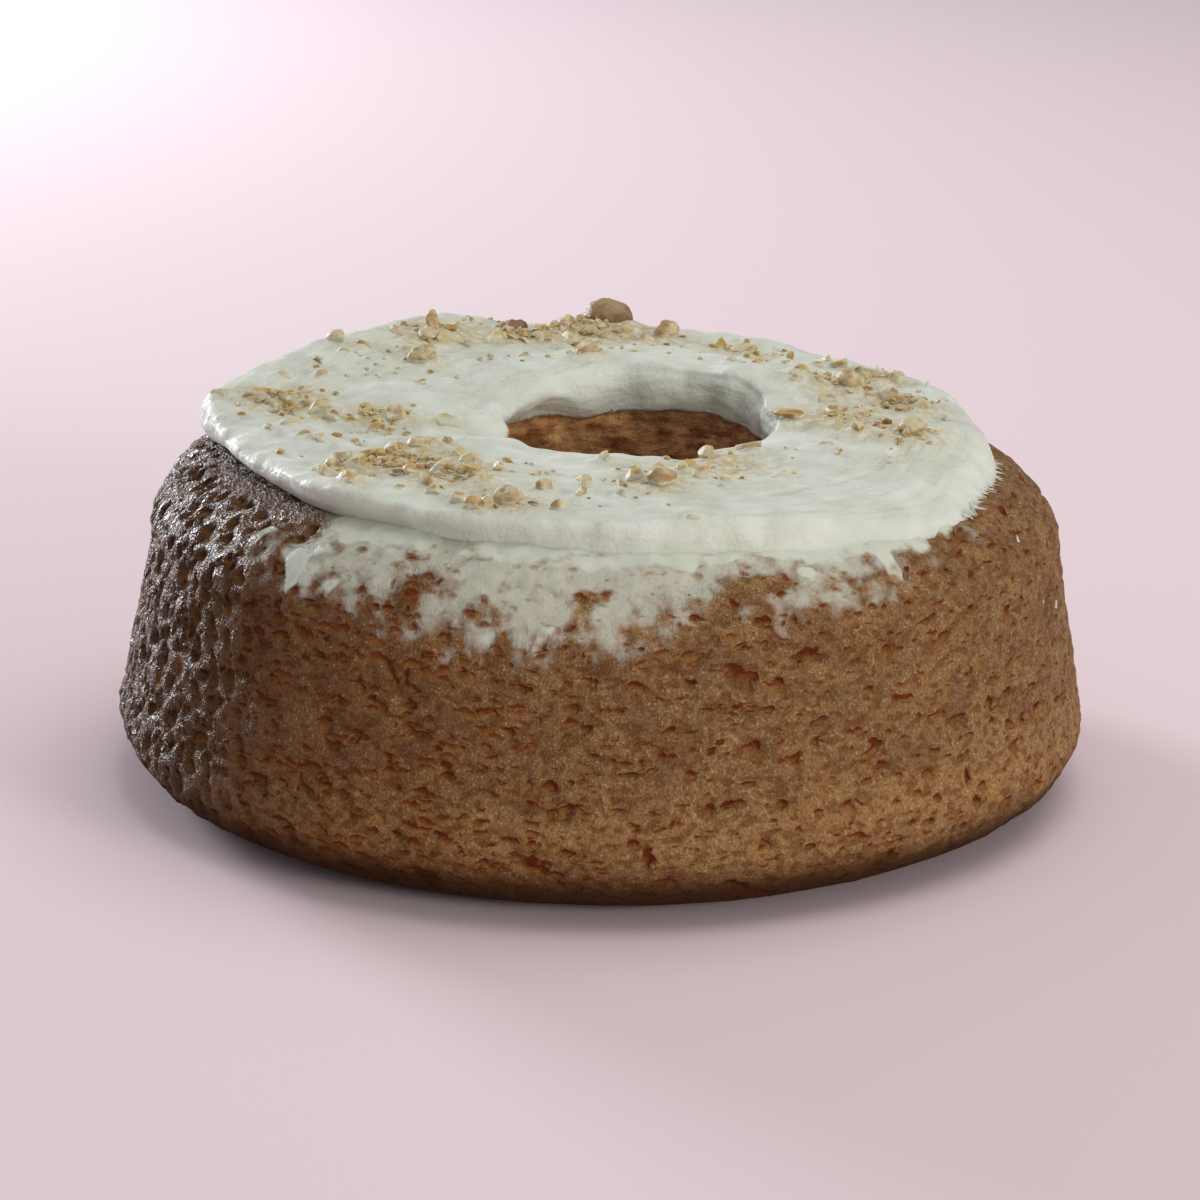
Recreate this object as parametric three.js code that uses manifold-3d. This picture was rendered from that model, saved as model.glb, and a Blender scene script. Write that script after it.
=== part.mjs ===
// Ring cake: a baked sponge ring, thick cream icing spread over its top, and chopped nuts on the icing.
// Millimetres, +Z up, standing on z = 0. Bearings are degrees about Z from +X, so the front is -90.
import * as THREE from 'three';
import { ConvexGeometry } from 'three/addons/geometries/ConvexGeometry.js';
import { mergeVertices } from 'three/addons/utils/BufferGeometryUtils.js';
import Module from 'manifold-3d';

const wasm = await Module();
wasm.setup();

const { clamp, degToRad, euclideanModulo, lerp, seededRandom, smoothstep } = THREE.MathUtils;

// Sponge: the section of the ring, and how far the hole lies off the middle
const WIDEST_RADIUS = 90;
const WIDEST_HEIGHT = 14;
const BASE_RADIUS = 73;
const SHOULDER_RADIUS = 84.3;
const SHOULDER_HEIGHT = 46;
const TOP_RADIUS = 64;
const TOP_HEIGHT = 61;
const HOLE_TOP_RADIUS = 29;
const HOLE_BASE_RADIUS = 24;
const HOLE_ROUND = 2;
const BASE_ROUND = 9;
const HOLE_SHIFT = new THREE.Vector2(3, 1);
const HOLE_NEARBY = 34;

// Icing: its foot on the sponge's shoulder, its heights, and its own hole about the sponge's
const ICING_GAP = 0.4;
const ICING_FOOT_RADIUS = 67;
const ICING_MIDDLE_RADIUS = 50;
const ICING_BROW_HEIGHT = 66.1;
const ICING_MIDDLE_HEIGHT = 67;
const ICING_CREST_HEIGHT = 66.8;
const ICING_HOLE_RADIUS = 25;
const ICING_HOLE_SHIFT = new THREE.Vector2(2.8, 1.6);
const ICING_TIP_DROP = 0.5;
const ICING_BULGE = 1.5;
const ICING_ROLL = 5;

// Places where the cake differs, each a smooth rise: bearing, width in degrees, millimetres
const SLOPE = [-33, 28];
const SHEET = [172, 45];
const SPONGE_LIFT = [[134, 50, 1.5]];
const HOLE_LIFT = [[52, 42, 3]];
const LOW_SWELL = [[180, 30, 0.6]];
const FOOT_REACH = [[-36, 32, 6.3], [12, 24, 2.2], [90, 50, 2], [176, 14, 7.5], [-122, 16, -1.3]];
const BROW_REACH = [[...SLOPE, -17], [-128, 22, 4.2], [-80, 14, -2.5]];
const BROW_LIFT = [[134, 34, 4.3], [150, 16, 1], [70, 22, 1], [20, 22, 1]];
const MIDDLE_LIFT = [[134, 34, 1.8]];
const CREST_LIFT = [[105, 40, 1]];
const ROLL_REACH = [[...SHEET, 8], [0, 40, -2]];

// Waves round the ring: crests, start, millimetres
const SPONGE_WAVES = [[4, 1, 0.2]];
const SIDE_WAVES = [[3, 0.4, 0.3], [5, 1.2, 0.25]];
const FOOT_WAVES = [[9, 0.3, 0.4], [14, 2, 0.3]];
const TOP_WAVES = [[6, 1, 0.25]];
const CREST_WAVES = [[8, 0.5, 0.4]];
const HOLE_WAVES = [[7, 1, 0.5], [11, 0, 0.4]];
const TIP_WAVES = [[5, 2, 0.3]];

// Facets
const SEGMENTS = 72;
const ARC_STEPS = 5;
const SMALL_ARC_STEPS = 3;
const STRAIGHT_STEPS = 4;
const TOP_STEPS = 20;

// Nut pieces large enough to be picked off: place, length, width and height, tilt, and whether skin shows
const CHUNKS = [
  { bearing: 90.5, radius: 66, size: [12, 8, 8.5], tilt: 8, skin: false },
  { bearing: 127, radius: 57, size: [3, 2.8, 7.5], tilt: 14, skin: false },
  { bearing: 144, radius: 46, size: [6, 5.5, 5], tilt: 10, skin: false },
  { bearing: 109, radius: 58, size: [6.5, 5, 3.5], tilt: 12, skin: true },
  { bearing: 26, radius: 49.5, size: [6.5, 5.5, 5.5], tilt: 20, skin: false },
  { bearing: 79, radius: 60.5, size: [5, 4.5, 5.5], tilt: 15, skin: false },
  { bearing: -9, radius: 56.5, size: [7.5, 5, 4.5], tilt: 10, skin: false },
  { bearing: -80, radius: 47.5, size: [5.5, 4.5, 5], tilt: 18, skin: false },
  { bearing: -106, radius: 60.5, size: [5.5, 4.5, 4.5], tilt: 8, skin: false },
];
const CHUNK_GAP = 0.35;
const CHUNK_SUNK = 0.25;
const CHUNK_CORNERS = 20;

// Smaller pieces fused to the icing: the ones in clusters by bearing, radius and size, then a scatter
const CLUSTERED_NUTS = [
  [59, 50, 5], [37, 43.5, 5], [31, 65, 5], [18, 55.5, 5], [10, 60, 6], [67, 57, 4],
  [121, 58.5, 5], [132, 57.5, 4], [139, 52, 4], [116, 51.5, 4], [107, 50, 4],
  [98, 63, 5], [87, 58.5, 5], [93, 59, 5], [83, 54, 4.5], [101, 36, 5],
  [176, 72.5, 3.5], [176, 64.5, 5], [178, 59.5, 4], [-177, 54, 5], [-171, 42, 4.5], [-168, 33, 4.5],
  [-145, 47.5, 5], [-145, 42.5, 5], [-141, 57, 5], [-133, 64.5, 5], [-125, 50, 5.5],
  [-125, 44.5, 4], [-115, 53, 4.5], [-110, 64.5, 4.5], [-95, 33, 3.5],
  [-59, 30, 3.5], [-43, 32, 3.5], [-5, 31, 4],
];
const SCATTER_COUNT = 76;
const SCATTER_LARGEST = 3.8;
const SCATTER_SMALLEST = 2;
const SCATTER_INNER = 36;
const SCATTER_OUTER = 65;
const SCATTER_SPACING = 0.5;
const NUT_SUNK = 0.3;
const NUT_CORNERS = 10;
const CHUNK_SEED = 311;
const PLACE_SEED = 2741;
const SHAPE_SEED = 907;

// A smooth rise to 1 at one bearing that dies away over the width given.
function rise(bearing, centre, width) {
  const turn = euclideanModulo(bearing - centre + 180, 360) - 180;
  return Math.exp(-((turn / width) ** 2));
}

// The sum of some rises at a bearing.
function risesAt(bearing, rises) {
  return rises.reduce((sum, [centre, width, reach]) => sum + reach * rise(bearing, centre, width), 0);
}

// The sum of some waves at a bearing.
function wavesAt(bearing, waves) {
  const turn = degToRad(bearing);
  return waves.reduce((sum, [crests, start, reach]) => sum + reach * Math.cos(crests * turn + start), 0);
}

// Where a spot of the even ring lies in the baked one: its side swells a little, its top stands higher in
// places, and the hole and what is near it lie off the middle.
function baked(radius, bearing, height) {
  const outer = smoothstep(radius, 45, 85);
  const low = 1 - smoothstep(height, 8, 30);
  const near = 1 - smoothstep(radius, HOLE_NEARBY, TOP_RADIUS);
  const reach = radius + outer * (wavesAt(bearing, SIDE_WAVES) + low * risesAt(bearing, LOW_SWELL));
  const lift = risesAt(bearing, SPONGE_LIFT) + near * risesAt(bearing, HOLE_LIFT)
    + wavesAt(bearing, SPONGE_WAVES);
  const turn = degToRad(bearing);
  return new THREE.Vector3(
    reach * Math.cos(turn) + near * HOLE_SHIFT.x,
    reach * Math.sin(turn) + near * HOLE_SHIFT.y,
    height + (lift * height) / TOP_HEIGHT,
  );
}

// A closed geometry as a solid for cutting and joining.
function solidOf(geometry) {
  geometry.deleteAttribute('normal');
  geometry.deleteAttribute('uv');
  const merged = mergeVertices(geometry, 1e-4);
  return new wasm.Manifold(new wasm.Mesh({
    numProp: 3,
    vertProperties: Float32Array.from(merged.getAttribute('position').array),
    triVerts: Uint32Array.from(merged.getIndex().array),
  }));
}

// A baked ring whose section changes with the bearing. Every section runs anticlockwise, has the same number
// of points and ends where it starts.
function ringOf(sectionAt) {
  const geometry = new THREE.LatheGeometry(sectionAt(0), SEGMENTS);
  const spots = geometry.getAttribute('position');
  const rows = sectionAt(0).length;
  for (let column = 0; column <= SEGMENTS; column += 1) {
    const bearing = ((column % SEGMENTS) * 360) / SEGMENTS;
    sectionAt(bearing).forEach((point, row) => {
      const spot = baked(point.x, bearing, point.y);
      spots.setXYZ(column * rows + row, spot.x, spot.y, spot.z);
    });
  }
  return solidOf(geometry);
}

// A quarter of an ellipse, anticlockwise, from a start given in quarter turns.
function quarter(centreRadius, centreHeight, wide, high, start, steps) {
  const from = (start * Math.PI) / 2;
  const to = from + Math.PI / 2;
  return new THREE.EllipseCurve(centreRadius, centreHeight, wide, high, from, to).getPoints(steps);
}

// The round where the top meets the hole, or one that stands clear of it.
function brinkRound(clearance) {
  const round = HOLE_ROUND + clearance;
  return quarter(HOLE_TOP_RADIUS + HOLE_ROUND, TOP_HEIGHT - HOLE_ROUND, round, round, 1, SMALL_ARC_STEPS);
}

// The points between two ends of a straight stretch.
function between(from, to, steps) {
  return new THREE.LineCurve(from, to).getPoints(steps).slice(1, -1);
}

// The sponge's section: flat base, rounded foot, sloping side, rounded shoulder, flat top and tapered hole.
function spongeSection() {
  const outletRadius = HOLE_BASE_RADIUS + BASE_ROUND;
  const footWide = WIDEST_RADIUS - BASE_RADIUS;
  const shoulderWide = SHOULDER_RADIUS - TOP_RADIUS;
  const shoulderHigh = TOP_HEIGHT - SHOULDER_HEIGHT;
  const foot = quarter(BASE_RADIUS, WIDEST_HEIGHT, footWide, WIDEST_HEIGHT, 3, ARC_STEPS);
  const shoulder = quarter(TOP_RADIUS, SHOULDER_HEIGHT, shoulderWide, shoulderHigh, 0, ARC_STEPS);
  const brink = brinkRound(0);
  const outlet = quarter(outletRadius, BASE_ROUND, BASE_ROUND, BASE_ROUND, 2, SMALL_ARC_STEPS);
  return [
    ...foot,
    ...between(foot.at(-1), shoulder[0], STRAIGHT_STEPS),
    ...shoulder,
    ...between(shoulder.at(-1), brink[0], 2),
    ...brink,
    ...between(brink.at(-1), outlet[0], STRAIGHT_STEPS),
    ...outlet,
    foot[0].clone(),
  ];
}

// The radius of the hole's wall at a height below its round.
function wallRadius(height) {
  const share = (height - BASE_ROUND) / (TOP_HEIGHT - HOLE_ROUND - BASE_ROUND);
  return lerp(HOLE_BASE_RADIUS, HOLE_TOP_RADIUS, share);
}

// The height of the sponge's shoulder at a radius.
function shoulderHeight(radius) {
  const share = clamp((radius - TOP_RADIUS) / (SHOULDER_RADIUS - TOP_RADIUS), 0, 1);
  return lerp(SHOULDER_HEIGHT, TOP_HEIGHT, Math.sqrt(1 - share * share));
}

// The line of the icing's top at a bearing, from its foot on the shoulder over the top into the hole.
function icingTopLine(bearing) {
  const turn = degToRad(bearing);
  const slope = rise(bearing, ...SLOPE);

  const footRadius = ICING_FOOT_RADIUS + risesAt(bearing, FOOT_REACH) + wavesAt(bearing, FOOT_WAVES);
  const footHeight = shoulderHeight(footRadius) + ICING_GAP;
  const browRadius = footRadius - 1 + risesAt(bearing, BROW_REACH);
  const browHeight = ICING_BROW_HEIGHT + risesAt(bearing, BROW_LIFT) + wavesAt(bearing, TOP_WAVES);
  const bulge = lerp(ICING_BULGE, 0.6 * ICING_BULGE, slope);
  const faceSpot = (inward, upward, swelling) => new THREE.Vector2(
    lerp(footRadius, browRadius, inward) + swelling * bulge,
    lerp(footHeight, browHeight, upward),
  );

  const middleRadius = ICING_MIDDLE_RADIUS - 3 * slope;
  const middleHeight = ICING_MIDDLE_HEIGHT + risesAt(bearing, MIDDLE_LIFT) + wavesAt(bearing, TOP_WAVES);
  const crestHeight = ICING_CREST_HEIGHT + risesAt(bearing, CREST_LIFT) + wavesAt(bearing, CREST_WAVES);
  const holeOffset = ICING_HOLE_SHIFT.x * Math.cos(turn) + ICING_HOLE_SHIFT.y * Math.sin(turn);
  const holeRadius = ICING_HOLE_RADIUS + holeOffset + wavesAt(bearing, HOLE_WAVES);
  const roll = ICING_ROLL + risesAt(bearing, ROLL_REACH);
  const tipHeight = TOP_HEIGHT - HOLE_ROUND - ICING_TIP_DROP + wavesAt(bearing, TIP_WAVES);

  return new THREE.SplineCurve([
    new THREE.Vector2(footRadius, footHeight),
    faceSpot(0.1, 0.2, 0.7),
    faceSpot(0.35, 0.55, 1),
    faceSpot(0.7, 0.88, 0.6),
    faceSpot(1, 1, -1),
    new THREE.Vector2(lerp(browRadius, ICING_MIDDLE_RADIUS, 0.5), lerp(browHeight, middleHeight, 0.6)),
    new THREE.Vector2(middleRadius, middleHeight),
    new THREE.Vector2(holeRadius + roll, crestHeight),
    new THREE.Vector2(holeRadius + 0.3 * roll, lerp(crestHeight, tipHeight, 0.2)),
    new THREE.Vector2(holeRadius, lerp(crestHeight, tipHeight, 0.55)),
    new THREE.Vector2(wallRadius(tipHeight) - ICING_GAP, tipHeight),
  ]).getPoints(TOP_STEPS);
}

// The icing's section: its underside follows the sponge just clear of it, and its top line closes it.
function icingSection(bearing) {
  const top = icingTopLine(bearing);
  const shoulder = [];
  for (let step = 0; step < STRAIGHT_STEPS; step += 1) {
    const radius = lerp(TOP_RADIUS, top[0].x, step / STRAIGHT_STEPS);
    shoulder.push(new THREE.Vector2(radius, shoulderHeight(radius) + ICING_GAP));
  }
  return [top.at(-1), ...brinkRound(ICING_GAP).reverse(), ...shoulder, ...top];
}

// The height of the icing's top at a radius, read off its line inward from where it is widest.
function icingHeight(bearing, radius) {
  const line = icingTopLine(bearing);
  const widest = line.reduce((best, point, index) => (point.x > line[best].x ? index : best), 0);
  const inward = line.findIndex((point, index) => index > widest && point.x <= radius);
  const outer = line[inward - 1];
  const inner = line[inward];
  return lerp(outer.y, inner.y, (outer.x - radius) / (outer.x - inner.x));
}

// A piece of chopped nut: a lump with flat broken faces, of the length, width and height given.
function nutLump(size, cornerCount) {
  const goldenTurn = Math.PI * (3 - Math.sqrt(5));
  const corners = [];
  for (let corner = 0; corner < cornerCount; corner += 1) {
    const up = 1 - (2 * corner + 1) / cornerCount;
    const across = Math.sqrt(1 - up * up);
    const turn = corner * goldenTurn + 0.8 * seededRandom();
    const reach = lerp(0.85, 1.1, seededRandom());
    const outward = new THREE.Vector3(across * Math.cos(turn), across * Math.sin(turn), up);
    corners.push(outward.multiplyScalar(reach));
  }
  const lump = new ConvexGeometry(corners).center();
  const extent = lump.boundingBox.getSize(new THREE.Vector3());
  return lump.scale(size[0] / extent.x, size[1] / extent.y, size[2] / extent.z);
}

// A lump laid on the icing, sunk into it by a share of its height.
function laidOnIcing(lump, { bearing, radius }, height, sunk) {
  const spot = baked(radius, bearing, icingHeight(bearing, radius));
  return lump.translate(spot.x, spot.y, spot.z + height * (0.5 - sunk));
}

// How readily scattered nuts lie at a spot: seldom on the slope or on the sheet that runs into the hole.
function nutChance({ bearing, radius }) {
  const onSlope = rise(bearing, SLOPE[0] - 12, 34) * smoothstep(radius, 44, 52);
  const onSheet = rise(bearing, SHEET[0], 32) * (1 - smoothstep(radius, 40, 46));
  return 0.9 - 0.88 * onSlope - 0.8 * onSheet;
}

// The places of all the fused nuts, the scattered ones from large to small and clear of all others.
function nutPlaces() {
  const clustered = CLUSTERED_NUTS.map(([bearing, radius, size]) => ({ bearing, radius, size }));
  const chunks = CHUNKS.map(({ bearing, radius, size }) => ({ bearing, radius, size: Math.max(...size) }));
  const scattered = [];
  seededRandom(PLACE_SEED);
  while (scattered.length < SCATTER_COUNT) {
    const size = lerp(SCATTER_LARGEST, SCATTER_SMALLEST, scattered.length / SCATTER_COUNT);
    const bearing = lerp(-180, 180, seededRandom());
    const radius = Math.sqrt(lerp(SCATTER_INNER ** 2, SCATTER_OUTER ** 2, seededRandom()));
    const place = { bearing, radius, size };
    const spot = baked(radius, bearing, 0);
    const isClear = [...chunks, ...clustered, ...scattered].every((other) => {
      const apart = spot.distanceTo(baked(other.radius, other.bearing, 0));
      return apart > (size + other.size) / 2 + SCATTER_SPACING;
    });
    if (seededRandom() < nutChance(place) && isClear) {
      scattered.push(place);
    }
  }
  return [...clustered, ...scattered];
}

// The icing with the small nuts fused to it and a pocket under each chunk.
function icedSolid(chunks) {
  const places = nutPlaces();
  let icing = ringOf(icingSection);
  seededRandom(SHAPE_SEED);
  for (const place of places) {
    const height = place.size * lerp(0.6, 0.8, seededRandom());
    const lump = nutLump([place.size, 0.8 * place.size, height], NUT_CORNERS);
    lump.rotateZ(2 * Math.PI * seededRandom());
    icing = icing.add(solidOf(laidOnIcing(lump, place, height, NUT_SUNK)));
  }
  for (const { pocket } of chunks) {
    icing = icing.subtract(pocket);
  }
  return icing;
}

// A chunk and the slightly larger shape that makes room for it in the icing.
function chunkSolids(chunk) {
  const { bearing, size, tilt } = chunk;
  const lump = nutLump(size, CHUNK_CORNERS).rotateX(degToRad(tilt)).rotateZ(degToRad(bearing + 90));
  const roomier = 1 + (2 * CHUNK_GAP) / Math.min(...size);
  const room = lump.clone().scale(roomier, roomier, roomier);
  return {
    solid: solidOf(laidOnIcing(lump, chunk, size[2], CHUNK_SUNK)),
    pocket: solidOf(laidOnIcing(room, chunk, size[2], CHUNK_SUNK)),
  };
}

// A solid as a named mesh of its own colour.
function meshOf(name, solid, color, roughness) {
  const { vertProperties, triVerts } = solid.getMesh();
  const geometry = new THREE.BufferGeometry();
  geometry.setAttribute('position', new THREE.BufferAttribute(vertProperties, 3));
  geometry.setIndex(new THREE.BufferAttribute(triVerts, 1));
  geometry.computeVertexNormals();
  const mesh = new THREE.Mesh(geometry, new THREE.MeshStandardMaterial({ color, roughness, metalness: 0 }));
  mesh.name = name;
  return mesh;
}

seededRandom(CHUNK_SEED);
const chunkParts = CHUNKS.map(chunkSolids);
const cake = new THREE.Group();
cake.name = 'ring_cake';
cake.add(meshOf('sponge', ringOf(spongeSection), 0x71502f, 0.55));
cake.add(meshOf('icing', icedSolid(chunkParts), 0xc6c6b9, 0.45));
chunkParts.forEach(({ solid }, index) => {
  const number = String(index + 1).padStart(2, '0');
  const color = CHUNKS[index].skin ? 0x5c4630 : 0xb9905f;
  cake.add(meshOf(`nut_chunk_${number}`, solid, color, 0.6));
});

export default cake;
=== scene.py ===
import math

import bmesh
import bpy
import numpy as np
from mathutils import Matrix, Vector
from mathutils.bvhtree import BVHTree


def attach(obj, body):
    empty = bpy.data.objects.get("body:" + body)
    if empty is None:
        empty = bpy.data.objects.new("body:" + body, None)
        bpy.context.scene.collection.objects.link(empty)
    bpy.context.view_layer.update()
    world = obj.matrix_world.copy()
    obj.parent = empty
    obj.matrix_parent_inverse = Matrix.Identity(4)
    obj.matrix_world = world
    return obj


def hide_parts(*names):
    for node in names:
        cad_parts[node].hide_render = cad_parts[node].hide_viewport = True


# Ring cake: a baked sponge ring with cream icing spread over its top and chopped nuts on the icing.
# Lengths are millimetres until a mesh is written, and metres in the studio.
# Bearings are degrees about Z from +X, so the front is -90.
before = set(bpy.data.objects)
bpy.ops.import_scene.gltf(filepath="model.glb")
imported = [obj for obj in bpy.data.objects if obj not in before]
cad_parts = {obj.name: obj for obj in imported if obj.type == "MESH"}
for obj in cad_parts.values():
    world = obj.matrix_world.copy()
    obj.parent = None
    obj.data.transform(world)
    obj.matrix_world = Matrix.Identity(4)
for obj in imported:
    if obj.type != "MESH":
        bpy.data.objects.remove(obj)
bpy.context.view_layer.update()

MM = 0.001

# Sponge: the section of the ring, and how far the hole lies off the middle
WIDEST_RADIUS = 90
WIDEST_HEIGHT = 14
BASE_RADIUS = 73
SHOULDER_RADIUS = 84.3
SHOULDER_HEIGHT = 46
TOP_RADIUS = 64
TOP_HEIGHT = 61
HOLE_TOP_RADIUS = 29
HOLE_BASE_RADIUS = 24
HOLE_ROUND = 2
BASE_ROUND = 9
HOLE_SHIFT = (3, 1)
HOLE_NEARBY = 34

# Icing: its foot on the sponge's shoulder, its heights, and its own hole about the sponge's
ICING_GAP = 0.4
ICING_FOOT_RADIUS = 67
ICING_MIDDLE_RADIUS = 50
ICING_BROW_HEIGHT = 66.1
ICING_MIDDLE_HEIGHT = 67
ICING_CREST_HEIGHT = 66.8
ICING_HOLE_RADIUS = 25
ICING_HOLE_SHIFT = (2.8, 1.6)
ICING_TIP_DROP = 0.5
ICING_BULGE = 1.5
ICING_ROLL = 5
ICING_SPAN = 52
STROKE_RADIUS = 55

# Places where the cake differs, each a smooth rise: bearing, width in degrees, millimetres
SLOPE = (-33, 28)
SHEET = (172, 45)
SPONGE_LIFT = [(134, 50, 1.5)]
HOLE_LIFT = [(52, 42, 3)]
LOW_SWELL = [(180, 30, 0.6)]
FOOT_REACH = [(-36, 32, 6.3), (12, 24, 2.2), (90, 50, 2), (176, 14, 7.5), (-122, 16, -1.3)]
BROW_REACH = [(*SLOPE, -17), (-128, 22, 4.2), (-80, 14, -2.5)]
BROW_LIFT = [(134, 34, 4.3), (150, 16, 1), (70, 22, 1), (20, 22, 1)]
MIDDLE_LIFT = [(134, 34, 1.8)]
CREST_LIFT = [(105, 40, 1)]
ROLL_REACH = [(*SHEET, 8), (0, 40, -2)]
LIP_LIFT = [(-168, 22, 1.4)]
ICING_FLARE = 0.8

# Waves round the ring: crests, start, millimetres
SPONGE_WAVES = [(4, 1, 0.2)]
SIDE_WAVES = [(3, 0.4, 0.3), (5, 1.2, 0.25)]
FOOT_WAVES = [(9, 0.3, 0.4), (14, 2, 0.3)]
TOP_WAVES = [(6, 1, 0.25)]
CREST_WAVES = [(8, 0.5, 0.4)]
HOLE_WAVES = [(7, 1, 0.5), (11, 0, 0.4)]
TIP_WAVES = [(5, 2, 0.3)]

# Nut pieces with solids of their own: place and size, as in the solids
CHUNKS = [
    (90.5, 66, 12), (127, 57, 7.5), (144, 46, 6), (109, 58, 6.5), (26, 49.5, 6.5),
    (79, 60.5, 5.5), (-9, 56.5, 7.5), (-80, 47.5, 5.5), (-106, 60.5, 5.5),
]
SKINNED_CHUNK = "nut_chunk_04"

# Smaller pieces: the ones in clusters by bearing, radius and size, then a seeded scatter
CLUSTERED_NUTS = [
    (59, 50, 5), (37, 43.5, 5), (31, 65, 5), (18, 55.5, 5), (10, 60, 6), (67, 57, 4),
    (121, 58.5, 5), (132, 57.5, 4), (139, 52, 4), (116, 51.5, 4), (107, 50, 4),
    (98, 63, 5), (87, 58.5, 5), (93, 59, 5), (83, 54, 4.5), (101, 36, 5),
    (176, 72.5, 3.5), (176, 64.5, 5), (178, 59.5, 4), (-177, 54, 5), (-171, 42, 4.5), (-168, 33, 4.5),
    (-145, 47.5, 5), (-145, 42.5, 5), (-141, 57, 5), (-133, 64.5, 5), (-125, 50, 5.5),
    (-125, 44.5, 4), (-115, 53, 4.5), (-110, 64.5, 4.5), (-95, 33, 3.5),
    (-59, 30, 3.5), (-43, 32, 3.5), (-5, 31, 4),
]
SCATTER_COUNT = 76
SCATTER_LARGEST = 3.8
SCATTER_SMALLEST = 2
SCATTER_INNER = 36
SCATTER_OUTER = 65
SCATTER_SPACING = 0.5
NUT_SUNK = 0.3
PLACE_SEED = 2741

# Crumbs of nut: heaps by bearing, radius, width and weight, and loose ones between them
CRUMB_COUNT = 600
NUT_HEAPS = [
    (95, 60, 6.5, 9), (110, 54, 5, 4), (126, 57, 4.5, 4), (178, 61, 6, 5), (-172, 45, 5, 3),
    (-140, 52, 7, 10), (-125, 50, 6, 6), (-106, 60, 4, 2), (-80, 47, 3.5, 1), (60, 51, 5, 3),
    (28, 52, 5, 4), (14, 58, 5, 4), (-9, 56, 4.5, 4), (35, 64, 5, 3), (-60, 36, 8, 1.5), (0, 40, 9, 3),
]
HEAP_SHARE = 0.68
LOOSE_RADII = (36, 66)
LOOSE_WIDTH = 3
CRUMB_LOWEST = 62
CRUMB_STEEPEST = 0.7
CREAM_SHARE, GOLDEN_SHARE = 0.45, 0.51

# Broken nut shapes about 1 across: how many there are, the cuts that break each, and its rounded edges
NUT_SEED = 4
LUMP_RADIUS = 0.56
CUT_DISTANCES = (0.24, 0.44)
KERNEL_SHAPES, KERNEL_CUTS, KERNEL_ROUNDING = 18, 11, 0.03
CRUMB_SHAPES, CRUMB_CUTS = 14, 4
KERNEL_SCALE = 1.25
KERNEL_STRETCH = (1, 0.8, 0.75)
CREAM_CRUMB_STRETCH = (1, 0.85, 0.7)
GOLDEN_CRUMB_STRETCH = (1.15, 0.85, 0.7)
FLAKE_STRETCH = (1.1, 0.8, 0.35)
KERNEL_ICED, CRUMB_ICED = 0.12, -0.02
SHARP_ANGLE = 38

# Icing drawn out by the knife: peaks by bearing, radius, height and width, and wisps at the ragged edge
ICING_PEAKS = [
    (41.7, 63.5, 2.6, 3), (34.5, 64.5, 3, 2.8), (31, 67, 2, 3), (24.5, 67.5, 2.4, 2.4), (17, 68.5, 1.6, 3),
    (58, 64, 1.5, 3),
]
WISP_COUNT = 130
WISP_BEARINGS = (-30, 8)
WISP_SEED = 12
ICING_FLECKS = [(-24, 54, 1.3), (-16, 39, 1.5), (-21, 42, 0.8), (48, 50, 1.2)]

# Fineness of the meshes
SPONGE_COLUMNS = 700
BASE_ROWS, FOOT_ROWS, SIDE_ROWS, SHOULDER_ROWS = 4, 30, 42, 32
TOP_ROWS, BRINK_ROWS, WALL_ROWS, OUTLET_ROWS = 3, 3, 22, 4
ICING_COLUMNS = 800
ICING_ROWS = 92
UNDER_ROWS = 8

# Crust: pits torn in the baked skin, the large ones by bearing, rise, half width, half height and depth
PIT_COUNT = 2000
PIT_SPACING = 0.1
PIT_MARGIN = 1.5
PIT_LEAST, PIT_MOST, PIT_DEEPEST = 0.5, 4, 1.3
TORN_PIT_EDGE, MESH_PIT_EDGE = 0.15, 0.24
PIT_SEED = 58
# The moist side, glossier and darkened by painted shade
MOIST_SIDE = (-168, 40)
MOIST_SHARE = 0.2
MOIST_NARROWER = 0.75
TORN_SIDE = (-122, 24)
TORN_WIDER = 1.25
TORN_SLANT = 1.1
# Heights over which the foot darkens: a darker bake with painted shade where it turns under
DARK_FOOT = (5, 12.5)
# Height and width of a paler golden band low on the wall, which is painted light
BELLY_HEIGHT, BELLY_WIDTH = 17, 6
LARGE_PITS = [
    (-94, 20.8, 3.4, 1.5, 1.8), (-108, 15.5, 2, 1.3, 1.2), (-93, 38.4, 2, 1.5, 1.3),
    (-39, 20.3, 1.5, 1.2, 1.6), (-76, 21.8, 4.2, 0.9, 1.2), (-71, 37.5, 4, 0.7, 1),
    (-136, 47.8, 1.9, 2.3, 1.4), (-141, 47, 1.1, 2.4, 1.2), (-146, 45.5, 1.2, 2.1, 1.2),
    (-148, 41.5, 1.6, 1.7, 1.2), (-151, 44, 1, 1.8, 1), (-132, 49.8, 1.3, 1.5, 1.1),
    (-127, 50, 2.8, 0.9, 1), (-151, 55.5, 1.8, 2, 1), (-152, 52, 1.2, 1.7, 1), (-158, 45, 1.2, 1.6, 1),
    (35, 30, 2.6, 1.4, 1.5), (72, 18, 2.2, 1.2, 1.2), (128, 36, 3, 1.3, 1.4), (160, 24, 2, 1.5, 1.3),
]

# Thin smears of icing on the shoulder: how low they reach, by bearing
SMEAR_LIMITS = [
    (-154, 70), (-147, 60), (-138, 55.7), (-131, 52.3), (-123, 52.3), (-114, 51.9), (-110, 48.2),
    (-99, 47.2), (-94, 50), (-87, 48.3), (-78, 55.8), (-66, 53.4), (-54, 54.4), (-47, 57.4), (-38, 60),
    (-20, 63), (-5, 66), (10, 72), (40, 70), (62, 59), (85, 54), (104, 57), (120, 70), (150, 72),
]
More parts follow.
